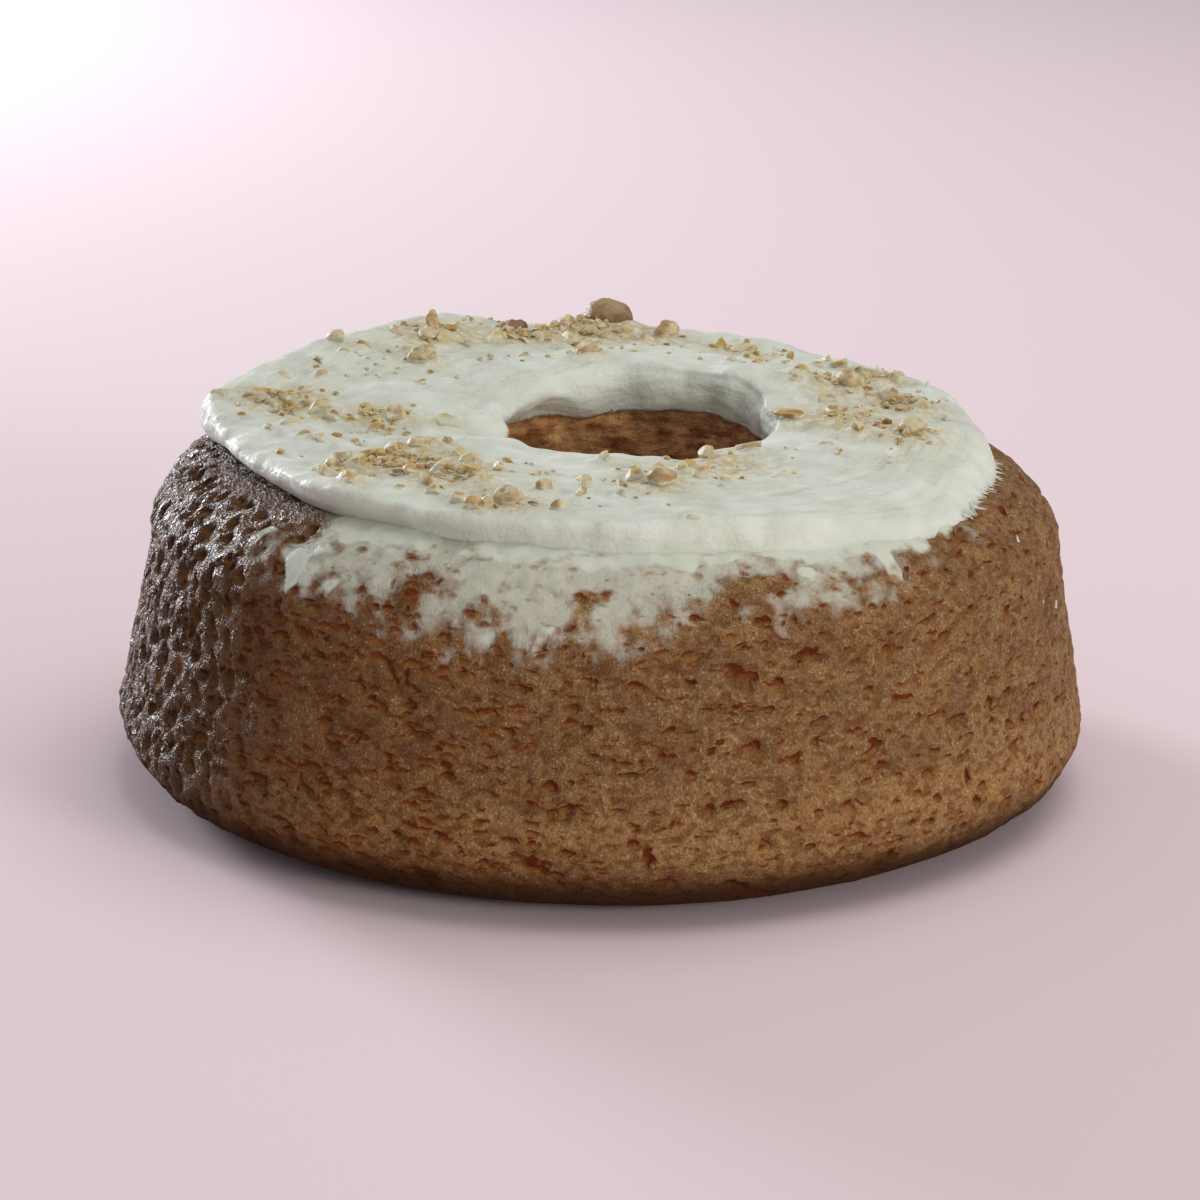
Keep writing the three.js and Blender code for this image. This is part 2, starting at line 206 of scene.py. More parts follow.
# A thicker patch, bare gaps by bearing, height, width and height, and where the icing's foot stays sharp
SMEAR_PATCH = (-132, 11)
SMEAR_GAPS = [
    (-112.5, 56.5, 2.5, 4), (-144, 60, 13, 1.2), (-147, 57, 4, 3), (-137, 59.3, 5, 1.4),
    (-104, 54, 2.5, 2.5), (-71, 57, 4, 2), (-92, 56, 3, 1.5),
]
FLARE_GAP = (-147, 18)

# Colours as seen on a screen, 0 to 255: the crust and its pits, the crumb in the hole, the moist side; some
# stand for painted light and shade, as marked
SKIN, SKIN_PALE = (142, 104, 67), (160, 120, 73)
# Painted light: a paler golden band low on the side wall
BELLY_PAINTED_LIGHT = (192, 146, 88)
# Painted shade in the skin's dimples
DIMPLE_SHADE = (110, 62, 26)
SPECK_BROWN = (90, 56, 28)
CLOUD_BROWN = (122, 68, 28)
TORN_BROWN = (116, 64, 26)
# Painted glints on the skin's ridges
RIDGE_GLINT = (204, 180, 146)
# Pits: rust hollows partly in painted shade, brows in painted shadow, floors in painted light
HOLLOW_RUST_SHADE = (146, 82, 26)
FLOOR_LIT_OCHRE = (178, 124, 54)
BROW_SHADOW_RUST = (110, 42, 6)
CRUMB_BROWN, CRUMB_PALE = (138, 72, 36), (252, 190, 132)
# Moist side: damp crust partly in painted shade, pit floors in painted light and brows in painted shadow
DAMP_AND_SHADE, DAMP_FLOOR_LIT, DAMP_BROW_SHADOW = (104, 71, 42), (154, 96, 36), (44, 18, 4)
# Painted shade over the moist side and its edge towards the front
MOIST_SIDE_SHADE = (80, 44, 14)
# The foot: a darker bake with painted shade where it turns under
FOOT_SHADE_BROWN = (67, 35, 9)

# Colours of the icing and its smears, and of the ground
SMEAR_DULL, SMEAR_PALE = (208, 210, 193), (226, 228, 213)
CREAM_DULL, CREAM_PALE = (222, 224, 209), (232, 234, 222)
STAIN_OCHRE, STAIN_PALE = (190, 152, 84), (214, 196, 142)
NUT_ICING = (218, 217, 199)
GROUND_PINK = (246, 224, 229)

# Nuts: the colours of their sides in painted shade and of their tops in painted light, the share of skin
# left on them and its colour
CREAM_KERNEL = ((186, 152, 100), (216, 200, 162), 0.07, (176, 134, 88))
GOLDEN_KERNEL = ((170, 130, 65), (208, 181, 118), 0.07, (158, 112, 57))
HAZELNUT_HALF = ((132, 100, 64), (172, 146, 106), 0.12, (118, 82, 52))
SKIN_FLAKE = ((92, 62, 38), (148, 108, 70), 0, (78, 52, 34))

# Studio: lights by place, size, power in watts and colour, then the camera's angles in degrees and its aim
LIGHTS = {
    "overhead": ((0.25, 0.1, 1.1), (0.9, 0.9), 4.6, (1, 1, 0.97)),
    "window": ((-0.8, 0.95, 0.26), (0.36, 0.3), 14.5, (0.88, 0.94, 1)),
    "fill": ((0.86, -0.84, 0.36), (0.36, 0.3), 5, (1, 1, 0.93)),
}
LIGHT_AIM = (0, 0, 0.04)
SKY_COLOUR = (0.94, 0.96, 1, 1)
SKY_STRENGTH = 0.3
FLOOR_HALF = 6
FLOOR_DROP = 0.0002
CAMERA_ELEVATION = 16.92
CAMERA_ROLL = 1.16
CAMERA_CENTRE = (0, 0, 0.035)
CAMERA_DISTANCE = 0.8
CAMERA_AIM = (-0.00035, -0.00096, 0.03184)
CAMERA_LENS = 127.8


def lerp(start, end, share):
    return start + (end - start) * share


def smoothstep(value, low, high):
    share = np.clip((value - low) / (high - low), 0, 1)
    return share * share * (3 - 2 * share)


def fade(apart, width):
    """1 in the middle, dying away smoothly over the width given."""
    return np.exp(-((apart / width) ** 2))


def rise(bearing, centre, width):
    """A smooth rise to 1 at one bearing that dies away over the width given."""
    return fade((bearing - centre + 180) % 360 - 180, width)


def rises_at(bearing, rises):
    return sum(reach * rise(bearing, centre, width) for centre, width, reach in rises)


def waves_at(bearing, waves):
    turn = np.radians(bearing)
    return sum(reach * np.cos(crests * turn + start) for crests, start, reach in waves)


def ripple(spots, size, seed, count=28):
    """Smooth random relief of about -1 to 1 at the spots, with lumps of the size given."""
    random = np.random.default_rng(seed)
    waves = random.normal(size=(spots.shape[-1], count))
    waves *= 2 * math.pi / (np.linalg.norm(waves, axis=0) * size * random.uniform(0.7, 1.5, count))
    starts = random.uniform(0, 2 * math.pi, count)
    relief = np.zeros(spots.shape[:-1])
    for wave, start in zip(waves.T, starts):
        relief += np.cos(spots @ wave + start)
    return relief / math.sqrt(count)


def baked(radius, bearing, height):
    """Where spots of the even ring lie in the baked one, as in the solids."""
    outer = smoothstep(radius, 45, 85)
    low = 1 - smoothstep(height, 8, 30)
    near = 1 - smoothstep(radius, HOLE_NEARBY, TOP_RADIUS)
    reach = radius + outer * (waves_at(bearing, SIDE_WAVES) + low * rises_at(bearing, LOW_SWELL))
    lift = (
        rises_at(bearing, SPONGE_LIFT) + near * rises_at(bearing, HOLE_LIFT)
        + waves_at(bearing, SPONGE_WAVES)
    )
    turn = np.radians(bearing)
    return np.stack([
        reach * np.cos(turn) + near * HOLE_SHIFT[0],
        reach * np.sin(turn) + near * HOLE_SHIFT[1],
        height + lift * height / TOP_HEIGHT,
    ], axis=-1)


def quarter(centre_radius, centre_height, wide, high, start, steps):
    """A quarter of an ellipse, anticlockwise, from a start given in quarter turns."""
    turn = np.linspace(start, start + 1, steps + 1) * math.pi / 2
    return np.stack([centre_radius + wide * np.cos(turn), centre_height + high * np.sin(turn)], axis=-1)


def straight(start, end, steps):
    return np.linspace(start, end, steps + 1)


def wall_radius(height):
    """The radius of the hole's wall at a height below its round."""
    share = (height - BASE_ROUND) / (TOP_HEIGHT - HOLE_ROUND - BASE_ROUND)
    return lerp(HOLE_BASE_RADIUS, HOLE_TOP_RADIUS, share)


def shoulder_height(radius):
    """The height of the sponge's shoulder at a radius."""
    share = np.clip((radius - TOP_RADIUS) / (SHOULDER_RADIUS - TOP_RADIUS), 0, 1)
    return lerp(SHOULDER_HEIGHT, TOP_HEIGHT, np.sqrt(1 - share * share))


def bearings_of(columns):
    """The bearing of each column round a ring, from -180 to 180."""
    return (np.arange(columns) * 360 / columns + 180) % 360 - 180


def ring(name, rows, columns):
    """A plain ring of quads, and the index of its vertex at each row of its section and column round it."""
    shape = bmesh.new()
    bmesh.ops.create_grid(shape, x_segments=columns, y_segments=rows, size=0.5)
    for vert in shape.verts:
        turn = 2 * math.pi * (vert.co.x + 0.5)
        way = 2 * math.pi * (vert.co.y + 0.5)
        reach = 2 + math.cos(way)
        vert.co = (reach * math.cos(turn), reach * math.sin(turn), math.sin(way))
    rim = [vert for vert in shape.verts if vert.is_boundary]
    bmesh.ops.remove_doubles(shape, verts=rim, dist=1e-4)
    bmesh.ops.recalc_face_normals(shape, faces=shape.faces)
    mesh = bpy.data.meshes.new(name)
    shape.to_mesh(mesh)
    shape.free()
    spots = np.empty(len(mesh.vertices) * 3, np.float32)
    mesh.vertices.foreach_get("co", spots)
    x, y, z = spots.reshape(-1, 3).T
    row = np.round(np.arctan2(z, np.hypot(x, y) - 2) * rows / (2 * math.pi)).astype(int) % rows
    column = np.round(np.arctan2(y, x) * columns / (2 * math.pi)).astype(int) % columns
    order = np.empty((rows, columns), int)
    order[row, column] = np.arange(len(mesh.vertices))
    return mesh, order


def grid_normals(spots):
    """The outward direction at each spot of a closed ring given by row and column."""
    along = np.roll(spots, -1, axis=1) - np.roll(spots, 1, axis=1)
    upward = np.roll(spots, -1, axis=0) - np.roll(spots, 1, axis=0)
    outward = np.cross(along, upward)
    return outward / np.maximum(np.linalg.norm(outward, axis=-1, keepdims=True), 1e-9)


def set_spots(mesh, order, spots):
    placed = np.empty((order.size, 3), np.float32)
    placed[order.ravel()] = spots.reshape(-1, 3) * MM
    mesh.vertices.foreach_set("co", placed.ravel())
    mesh.update()


def set_values(mesh, name, order, values):
    """A value at each vertex, which the mesh's material reads by name."""
    placed = np.empty(order.size, np.float32)
    placed[order.ravel()] = values.ravel()
    mesh.attributes.new(name, "FLOAT", "POINT").data.foreach_set("value", placed)


def set_vectors(mesh, name, order, vectors):
    placed = np.empty((order.size, 3), np.float32)
    placed[order.ravel()] = vectors.reshape(-1, 3)
    mesh.attributes.new(name, "FLOAT_VECTOR", "POINT").data.foreach_set("vector", placed.ravel())


def points_and_triangles(shape):
    """A small shape as arrays, for use many times over. The shape itself is freed."""
    bmesh.ops.triangulate(shape, faces=shape.faces)
    bmesh.ops.recalc_face_normals(shape, faces=shape.faces)
    points = np.array([vert.co for vert in shape.verts])
    faces = np.array([[vert.index for vert in face.verts] for face in shape.faces])
    shape.free()
    return points, faces


def joined_mesh(name, points, faces):
    """One mesh of many small shapes."""
    mesh = bpy.data.meshes.new(name)
    mesh.from_pydata(np.concatenate(points) * MM, [], np.concatenate(faces).tolist())
    mesh.shade_smooth()
    return mesh


def add_piece(name, mesh, material, slot, *nodes):
    """A piece in its place on the cake, standing for the nodes named."""
    piece = bpy.data.objects.new(name, mesh)
    bpy.context.scene.collection.objects.link(piece)
    mesh.materials.append(material)
    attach(piece, "root")
    if nodes:
        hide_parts(*nodes)
    return piece


# Materials

def new_material(name):
    material = bpy.data.materials.new(name)
    material.use_nodes = True
    tree = material.node_tree
    shader = tree.nodes["Principled BSDF"]
    return material, tree, shader


class Value:
    """A number that a material's nodes work out at each spot, so that sums can be written plainly."""

    def __init__(self, tree, socket):
        self.tree = tree
        self.socket = socket

    def __add__(self, other):
        return math_of(self.tree, "ADD", self, other)

    def __sub__(self, other):
        return math_of(self.tree, "SUBTRACT", self, other)

    def __rsub__(self, other):
        return math_of(self.tree, "SUBTRACT", other, self)

    def __mul__(self, other):
        return math_of(self.tree, "MULTIPLY", self, other)

    def __truediv__(self, other):
        return math_of(self.tree, "DIVIDE", self, other)

    def spread(self, low, high, to_low=0.0, to_high=1.0):
        """The number eased from one range to another."""
        inputs = {"Value": self, "From Min": low, "From Max": high, "To Min": to_low, "To Max": to_high}
        made = add_node(self.tree, "ShaderNodeMapRange", inputs, interpolation_type="SMOOTHSTEP")
        return Value(self.tree, made.outputs["Result"])


def feed(tree, socket, value):
    """Links another node's output to an input, or sets the input to a value."""
    if isinstance(value, Value):
        tree.links.new(value.socket, socket)
    elif isinstance(value, bpy.types.NodeSocket):
        tree.links.new(value, socket)
    else:
        socket.default_value = value


def add_node(tree, kind, inputs=(), **settings):
    """A node with its settings and its inputs, given by name or place."""
    made = tree.nodes.new(kind)
    for name, value in settings.items():
        setattr(made, name, value)
    for name, value in dict(inputs).items():
        feed(tree, made.inputs[name], value)
    return made


def math_of(tree, operation, first, second):
    made = add_node(tree, "ShaderNodeMath", {0: first, 1: second}, operation=operation)
    return Value(tree, made.outputs[0])


def largest(result, *others):
    for other in others:
        result = math_of(result.tree, "MAXIMUM", result, other)
    return result


def value_of(tree, name):
    return Value(tree, add_node(tree, "ShaderNodeAttribute", attribute_name=name).outputs["Fac"])


def parts_of(tree, vector):
    """The X, Y and Z of a vector."""
    return [Value(tree, part) for part in add_node(tree, "ShaderNodeSeparateXYZ", {0: vector}).outputs]


def spots_in_mm(tree):
    """The piece's own coordinates in millimetres."""
    places = add_node(tree, "ShaderNodeTexCoord").outputs["Object"]
    return scaled(tree, places, 1 / MM, 1 / MM, 1 / MM)


def scaled(tree, spots, *scale):
    return add_node(tree, "ShaderNodeMapping", {"Vector": spots, "Scale": scale}).outputs["Vector"]


def grain(tree, spots, size, detail=2, roughness=0.5):
    """Noise with lumps of the size given in millimetres, about 0 to 1."""
    inputs = {"Vector": spots, "Scale": 1 / size, "Detail": detail, "Roughness": roughness}
    return Value(tree, add_node(tree, "ShaderNodeTexNoise", inputs).outputs["Fac"])


def shade(red, green, blue):
    """A colour as seen on a screen, 0 to 255, as the linear colour a shader takes."""
    parts = [part / 255 for part in (red, green, blue)]
    return (*[part / 12.92 if part <= 0.04045 else ((part + 0.055) / 1.055) ** 2.4 for part in parts], 1)


def mixed(tree, share, first, second):
    """Two colours mixed by a share, each another node's output or a colour as seen on a screen."""
    made = add_node(tree, "ShaderNodeMix", {0: share}, data_type="RGBA")
    for index, colour in ((6, first), (7, second)):
        feed(tree, made.inputs[index], shade(*colour) if isinstance(colour, tuple) else colour)
    return made.outputs[2]


def add_relief(tree, shader, height):
    """Fine relief, its height in millimetres."""
    bump = add_node(tree, "ShaderNodeBump", {"Height": height, "Strength": 1, "Distance": MM})
    feed(tree, shader.inputs["Normal"], bump.outputs["Normal"])


def set_depth(shader, weight, radius, reach):
    """Lets light into the surface, as far as the reach in millimetres."""
    shader.inputs["Subsurface Weight"].default_value = weight
    shader.inputs["Subsurface Radius"].default_value = radius
    shader.inputs["Subsurface Scale"].default_value = reach * MM


def torn_pits(tree, spots, size, least, most, wider):
    """Torn bubbles: how far each spot is a hollow, an upper brow and a floor, and how far out it is."""
    cells = add_node(tree, "ShaderNodeTexVoronoi", {"Vector": spots, "Scale": 1 / size}).outputs
    apart = Value(tree, cells["Distance"])
    reach = parts_of(tree, cells["Color"])[0].spread(0, 1, least, most) + wider
    ends = {0: spots, 1: cells["Position"]}
    offset = add_node(tree, "ShaderNodeVectorMath", ends, operation="SUBTRACT").outputs[0]
    up = parts_of(tree, offset)[2] / (reach * size)
    return *pit_parts(reach - apart, up, TORN_PIT_EDGE), apart


def mesh_pits(tree, ragged):
    """The same for the pits in the mesh, which holds how far out and up each spot lies in one."""
    return pit_parts(ragged - value_of(tree, "pit"), value_of(tree, "pit_up"), MESH_PIT_EDGE)


def pit_parts(inside, up, edge):
    """How far a spot is hollow, on the brow and on the floor of a pit whose edge is that wide."""
    hollow = inside.spread(-0.2 * edge, 3 * edge)
    opening = inside.spread(0, edge)
    return hollow, opening * up.spread(-0.3, 0.6), opening * up.spread(-0.7, -0.1, 1, 0)


def icing_over_crust(film, dab):
    """How far a thin film or a thicker dab of icing hides the crust."""
    return largest(film.spread(0.3, 1.2, 0, 0.75), dab.spread(0.34, 0.8, 0, 0.97))


def crust_material():
    """Baked crust: grained skin with painted glints, pits with rust brows in painted shadow and ochre
    floors in painted light, a moist side in painted shade, smears of icing.
    """
    material, tree, shader = new_material("baked_crust")
    spots = spots_in_mm(tree)
    moist_and_shaded, torn_side, low = (value_of(tree, name) for name in ("moist_and_shaded", "torn", "low"))
    wet_shaded_side = moist_and_shaded.spread(0.25, 0.85)

    # Pits: torn ones on the dry and the wet side, and the large ones in the mesh
    noise = add_node(tree, "ShaderNodeTexNoise", {"Vector": spots, "Scale": 0.5, "Detail": 1}).outputs
    wobble = Value(tree, noise["Fac"])
    shifts = {0: noise["Color"], 1: (3, 3, 2), 2: spots}
    wobbly = add_node(tree, "ShaderNodeVectorMath", shifts, operation="MULTIPLY_ADD").outputs[0]
    dry_wider = torn_side * 0.28 - wet_shaded_side * 0.3
    *dry_pits, _ = torn_pits(tree, scaled(tree, wobbly, 1, 1, 2), 3, -0.25, 0.5, dry_wider)
    wet_wider = wet_shaded_side.spread(0, 1, -0.28, 0)
    *wet_pits, apart = torn_pits(tree, scaled(tree, wobbly, 1, 1, 0.7), 2, 0.1, 0.5, wet_wider)
    big_pits = mesh_pits(tree, wobble.spread(0.2, 0.8, 0.4, 1.5))
    hollow, brow, floor = (largest(*alike) for alike in zip(dry_pits, wet_pits, big_pits))

    # Crumb in the hole; the moist side, damp crust partly in painted shade with pit floors in painted light
    # and brows in painted shadow
    streaks = grain(tree, scaled(tree, spots, 0.6, 0.6, 1.6), 3.4, 3, 0.65)
    crumb = mixed(tree, streaks.spread(0.32, 0.66), CRUMB_BROWN, CRUMB_PALE)
    shaded_damp = mixed(tree, floor * 0.7, DAMP_AND_SHADE, DAMP_FLOOR_LIT)
    shaded_damp = mixed(tree, brow * 0.9, shaded_damp, DAMP_BROW_SHADOW)

    # Dry skin: a band of painted light low on the wall, painted shade in its dimples, painted glints on its
    # ridges, pits with rust hollows partly in painted shade, brows in painted shadow and floors in painted
    # light; then the crumb, painted shade on the moist side and the darker-baked foot in painted shade
    patches = grain(tree, spots, 7, 2, 0.6)
    dimples = grain(tree, scaled(tree, spots, 1, 1, 1.4), 1.9, 0)
    speckle = grain(tree, spots, 0.5, 2, 0.6)
    clouds = grain(tree, scaled(tree, spots, 1, 1, 0.8), 4, 2, 0.5) - 0.5
    glint_ridges = (dimples + patches).spread(0.88, 1.14, 0.35, 1)
    skin = mixed(tree, patches.spread(0.36, 0.64), SKIN, SKIN_PALE)
    for share, colour in (
        (value_of(tree, "painted_belly_light") * 0.5, BELLY_PAINTED_LIGHT),
        (dimples.spread(0.3, 0.54, 0.6, 0), DIMPLE_SHADE),
        (speckle.spread(0.34, 0.52, 0.4, 0), SPECK_BROWN),
        (clouds.spread(0.04, 0.12, 0, 0.25), CLOUD_BROWN),
        (torn_side * 0.25, TORN_BROWN),
        (speckle.spread(0.56, 0.7, 0, 0.7) * glint_ridges, RIDGE_GLINT),
        (hollow * 0.5, HOLLOW_RUST_SHADE),
        (floor * 0.4, FLOOR_LIT_OCHRE),
        (brow * 0.95, BROW_SHADOW_RUST),
        (value_of(tree, "crumb") * 0.8, crumb),
        (moist_and_shaded * 0.75, MOIST_SIDE_SHADE),
        (wet_shaded_side * 0.85, shaded_damp),
        (low * 0.95, FOOT_SHADE_BROWN),
    ):
        skin = mixed(tree, share, skin, colour)

    # Smears of icing, ragged at their edges
    film, dab = value_of(tree, "smear"), value_of(tree, "dab")
    thick = icing_over_crust(film, dab)
    film += (clouds * 2.4 - hollow * 0.3) * film.spread(0, 0.3)
    dab += (clouds + wobble * 0.4 - 0.2) * dab.spread(0, 0.2)
    smear = icing_over_crust(film, dab)
    smear_colour = mixed(tree, patches, SMEAR_DULL, SMEAR_PALE)
    feed(tree, shader.inputs["Base Color"], mixed(tree, smear, skin, smear_colour))

    # Gloss, and relief where no icing fills it
    wet = speckle - hollow * 0.4 + smear * 0.1 + wet_shaded_side * 0.24 - low * 0.4
    feed(tree, shader.inputs["Roughness"], wet.spread(0.3, 0.74, 0.95, 0.23))
    crinkle = grain(tree, scaled(tree, spots, 1, 1, 0.6), 0.95, 2, 0.55)
    wrinkles = crinkle + speckle * 0.6 + apart * 0.9
    deep = largest(wet_pits[0], big_pits[0])
    dents = dimples * 0.8 - deep * 0.5 + speckle * 0.6 + wrinkles * wet_shaded_side
    add_relief(tree, shader, dents * (1 - thick) + thick * 0.15)
    shader.inputs["Specular IOR Level"].default_value = 0.18
    return material


def icing_material():
    """Soft cream icing with knife strokes, stained ochre round the nuts."""
    material, tree, shader = new_material("cream_icing")
    spots = spots_in_mm(tree)
    cream = mixed(tree, grain(tree, spots, 8, 1).spread(0.35, 0.65), CREAM_DULL, CREAM_PALE)
    mottle = grain(tree, spots, 1.6, 3, 0.65).spread(0.3, 0.66, 0.15, 1)
    stain = mixed(tree, grain(tree, spots, 1.6, 2), STAIN_OCHRE, STAIN_PALE)
    stained = (value_of(tree, "stain") * mottle).spread(0, 0.75, 0, 0.9)
    feed(tree, shader.inputs["Base Color"], mixed(tree, stained, cream, stain))
    feed(tree, shader.inputs["Roughness"], grain(tree, spots, 2.5, 2).spread(0.3, 0.7, 0.44, 0.66))
    way = add_node(tree, "ShaderNodeAttribute", attribute_name="way").outputs["Vector"]
    strokes = grain(tree, scaled(tree, way, 0.1, 0.1, 0.8), 1.6, 2)
    add_relief(tree, shader, grain(tree, spots, 2, 3, 0.6) * 0.45 + strokes * 0.5)
    shader.inputs["Specular IOR Level"].default_value = 0.32
    set_depth(shader, 0.3, (1, 0.9, 0.7), 2)
    return material


def nut_material(name, side, top, skin_share, skin):
    """Broken nut kernel: painted light where it faces up and painted shade at its sides, with some of its
    skin left.
    """
    material, tree, shader = new_material(name)
    spots = spots_in_mm(tree)
    fleck = grain(tree, spots, 0.9, 3, 0.6)
    upward = parts_of(tree, add_node(tree, "ShaderNodeNewGeometry").outputs["Normal"])[2]
    tint = value_of(tree, "tint")
    # Painted light on faces turned up and painted shade on the sides, broken up by flecks and each piece's
    # tint
    lit_and_flecked = upward + fleck * 0.9 + tint * 0.5
    kernel = mixed(tree, lit_and_flecked.spread(0.45, 1.35), side, top)
    left = grain(tree, spots, 2.2, 2) + tint * 0.15
    kernel = mixed(tree, left.spread(0.6 - skin_share, 0.8 - skin_share, 0, 0.75), kernel, skin)
    iced = value_of(tree, "iced") + fleck
    kernel = mixed(tree, iced.spread(1, 1.4, 0, 0.85), kernel, NUT_ICING)
    feed(tree, shader.inputs["Base Color"], kernel)
    feed(tree, shader.inputs["Roughness"], fleck.spread(0.3, 0.7, 0.45, 0.65))
    add_relief(tree, shader, fleck * 0.3)
    set_depth(shader, 0.35, (1, 0.75, 0.4), 1.5)
    return material


# Sponge

def sponge_section():
    """Radius and height down the rows of the sponge's section: base, foot, side, shoulder, top, hole."""
    outlet_radius = HOLE_BASE_RADIUS + BASE_ROUND
    foot = quarter(BASE_RADIUS, WIDEST_HEIGHT, WIDEST_RADIUS - BASE_RADIUS, WIDEST_HEIGHT, 3, FOOT_ROWS)
    shoulder = quarter(
        TOP_RADIUS, SHOULDER_HEIGHT, SHOULDER_RADIUS - TOP_RADIUS, TOP_HEIGHT - SHOULDER_HEIGHT,
        0, SHOULDER_ROWS,
    )
    brink = quarter(
        HOLE_TOP_RADIUS + HOLE_ROUND, TOP_HEIGHT - HOLE_ROUND, HOLE_ROUND, HOLE_ROUND, 1, BRINK_ROWS,
    )
    outlet = quarter(outlet_radius, BASE_ROUND, BASE_ROUND, BASE_ROUND, 2, OUTLET_ROWS)
    stretches = [
        straight(outlet[-1], foot[0], BASE_ROWS), foot,
        straight(foot[-1], shoulder[0], SIDE_ROWS), shoulder,
        straight(shoulder[-1], brink[0], TOP_ROWS), brink,
        straight(brink[-1], outlet[0], WALL_ROWS), outlet,
    ]
    return np.concatenate([stretch[:-1] for stretch in stretches])


def pit_list(section):
    """Pits on the crust, clear of each other: bearing, row, half width and height, depth and slant."""
    random = np.random.default_rng(PIT_SEED)
    outside = np.arange(BASE_ROWS + 8, BASE_ROWS + FOOT_ROWS + SIDE_ROWS + SHOULDER_ROWS - 8)
    pits = []
    spots = np.empty((PIT_COUNT, 3))
    widths = np.empty(PIT_COUNT)

    def add_pit(bearing, row, wide, high, deep, slant, is_listed):
        turn = math.radians(bearing)
        radius, height = section[row]
        spot = np.array([radius * math.cos(turn), radius * math.sin(turn), height])
        count = len(pits)
        apart = np.linalg.norm((spots[:count] - spot) * (1, 1, 1.3), axis=1) - widths[:count]
        if is_listed or apart.min() > wide + PIT_SPACING:
            pits.append((bearing, row, wide, high, deep, slant))
            spots[count] = spot
            widths[count] = wide

    for bearing, height, wide, high, deep in LARGE_PITS:
        row = outside[np.argmin(np.abs(section[outside, 1] - height))]
        add_pit(bearing, row, wide, high, deep, random.normal(0, 0.15), True)
    while len(pits) < PIT_COUNT:
        bearing = random.uniform(-180, 180)
        if random.uniform() < MOIST_SHARE:
            bearing = random.normal(MOIST_SIDE[0], 0.6 * MOIST_SIDE[1])
        moist_and_shaded = smoothstep(rise(bearing, *MOIST_SIDE), 0.3, 0.8)
        torn = rise(bearing, *TORN_SIDE) * (1 - moist_and_shaded)
        wide = min(PIT_LEAST + random.gamma(1.8, 0.5), PIT_MOST)
        wide *= lerp(1, MOIST_NARROWER, moist_and_shaded) * lerp(1, TORN_WIDER, torn)
        high = wide * lerp(random.uniform(0.25, 0.8), random.uniform(1, 1.5), moist_and_shaded)
        deep = min(high, PIT_DEEPEST) * random.uniform(0.6, 1)
        slant = random.normal(0, 0.25) + TORN_SLANT * torn
        add_pit(bearing, random.choice(outside), wide, high, deep, slant, False)
    return pits


def pit_relief(section, even):
    """How deep the pits go by row and column, and how far out and up each spot lies in the nearest."""
    shape = even.shape[:2]
    depth = np.zeros(shape)
    nearest = np.full(shape, 4.0)
    upward = np.zeros(shape)
    sideways = 0.4 * ripple(even, 4, 61)
    upwards = 0.4 * ripple(even, 4, 62)
    steps = np.linalg.norm(np.diff(section, axis=0, append=section[:1]), axis=1)
    way = np.concatenate([[0], np.cumsum(steps)[:-1]])
    columns = shape[1]
    for bearing, row, wide, high, deep, slant in pit_list(section):
        column_mm = 2 * math.pi * section[row, 0] / columns
        middle = bearing / 360 * columns
        reach = math.ceil((wide + PIT_MARGIN) / column_mm)
        near_columns = np.arange(math.floor(middle) - reach, math.floor(middle) + reach + 2)
        near_rows = np.nonzero(np.abs(way - way[row]) < high + PIT_MARGIN)[0]
        block = np.ix_(near_rows, near_columns % columns)
        across = ((near_columns - middle) * column_mm)[None, :] / wide + sideways[block]
        up = (way[near_rows] - way[row])[:, None] / high + slant * across + upwards[block]
        apart = np.hypot(across, up)
        closer = apart < nearest[block]
        nearest[block] = np.where(closer, apart, nearest[block])
        upward[block] = np.where(closer, up, upward[block])
        sunk = np.where(up > 0, 1.3 * up, 0.9 * up)
        depth[block] = np.maximum(depth[block], deep * np.exp(-(np.hypot(across, sunk) ** 3)))
    return depth, nearest, upward


def smear_cover(bearing, spots):
    """How thickly icing is smeared on the shoulder: the thin film, and the dabs that hide the crust."""
    bearings, limits = zip(*SMEAR_LIMITS)
    height = spots[..., 2]
    blots = ripple(spots * (1, 1, 0.6), 7, 21)
    drips = ripple(spots * (1, 1, 0.5), 8, 22)
    above = height - np.interp(bearing, bearings, limits, period=360) + 1.2 * blots
    film = 0.58 + above / 10
    foot = icing_top_controls(bearing[0])[0, :, 1]
    near_edge = smoothstep(above, -4, 0) * (1 - smoothstep(above, 3, 8))
    dab = 0.7 * smoothstep(drips, 0.3, 1.2) * near_edge
    at_foot = smoothstep(height, foot - 2.2, foot - 0.3) * (1 - rise(bearing, *FLARE_GAP))
    dab += 0.8 * at_foot * smoothstep(above, -4, 0)
    dab += 0.7 * rise(bearing, *SMEAR_PATCH) * smoothstep(above, -1, 2)
    for gap_bearing, gap_height, wide, high in SMEAR_GAPS:
        gap = rise(bearing, gap_bearing, wide) * fade(height - gap_height, high)
        film -= 0.8 * gap
        dab -= gap
    return np.clip(film, 0, 1.2), np.clip(dab, 0, 1)


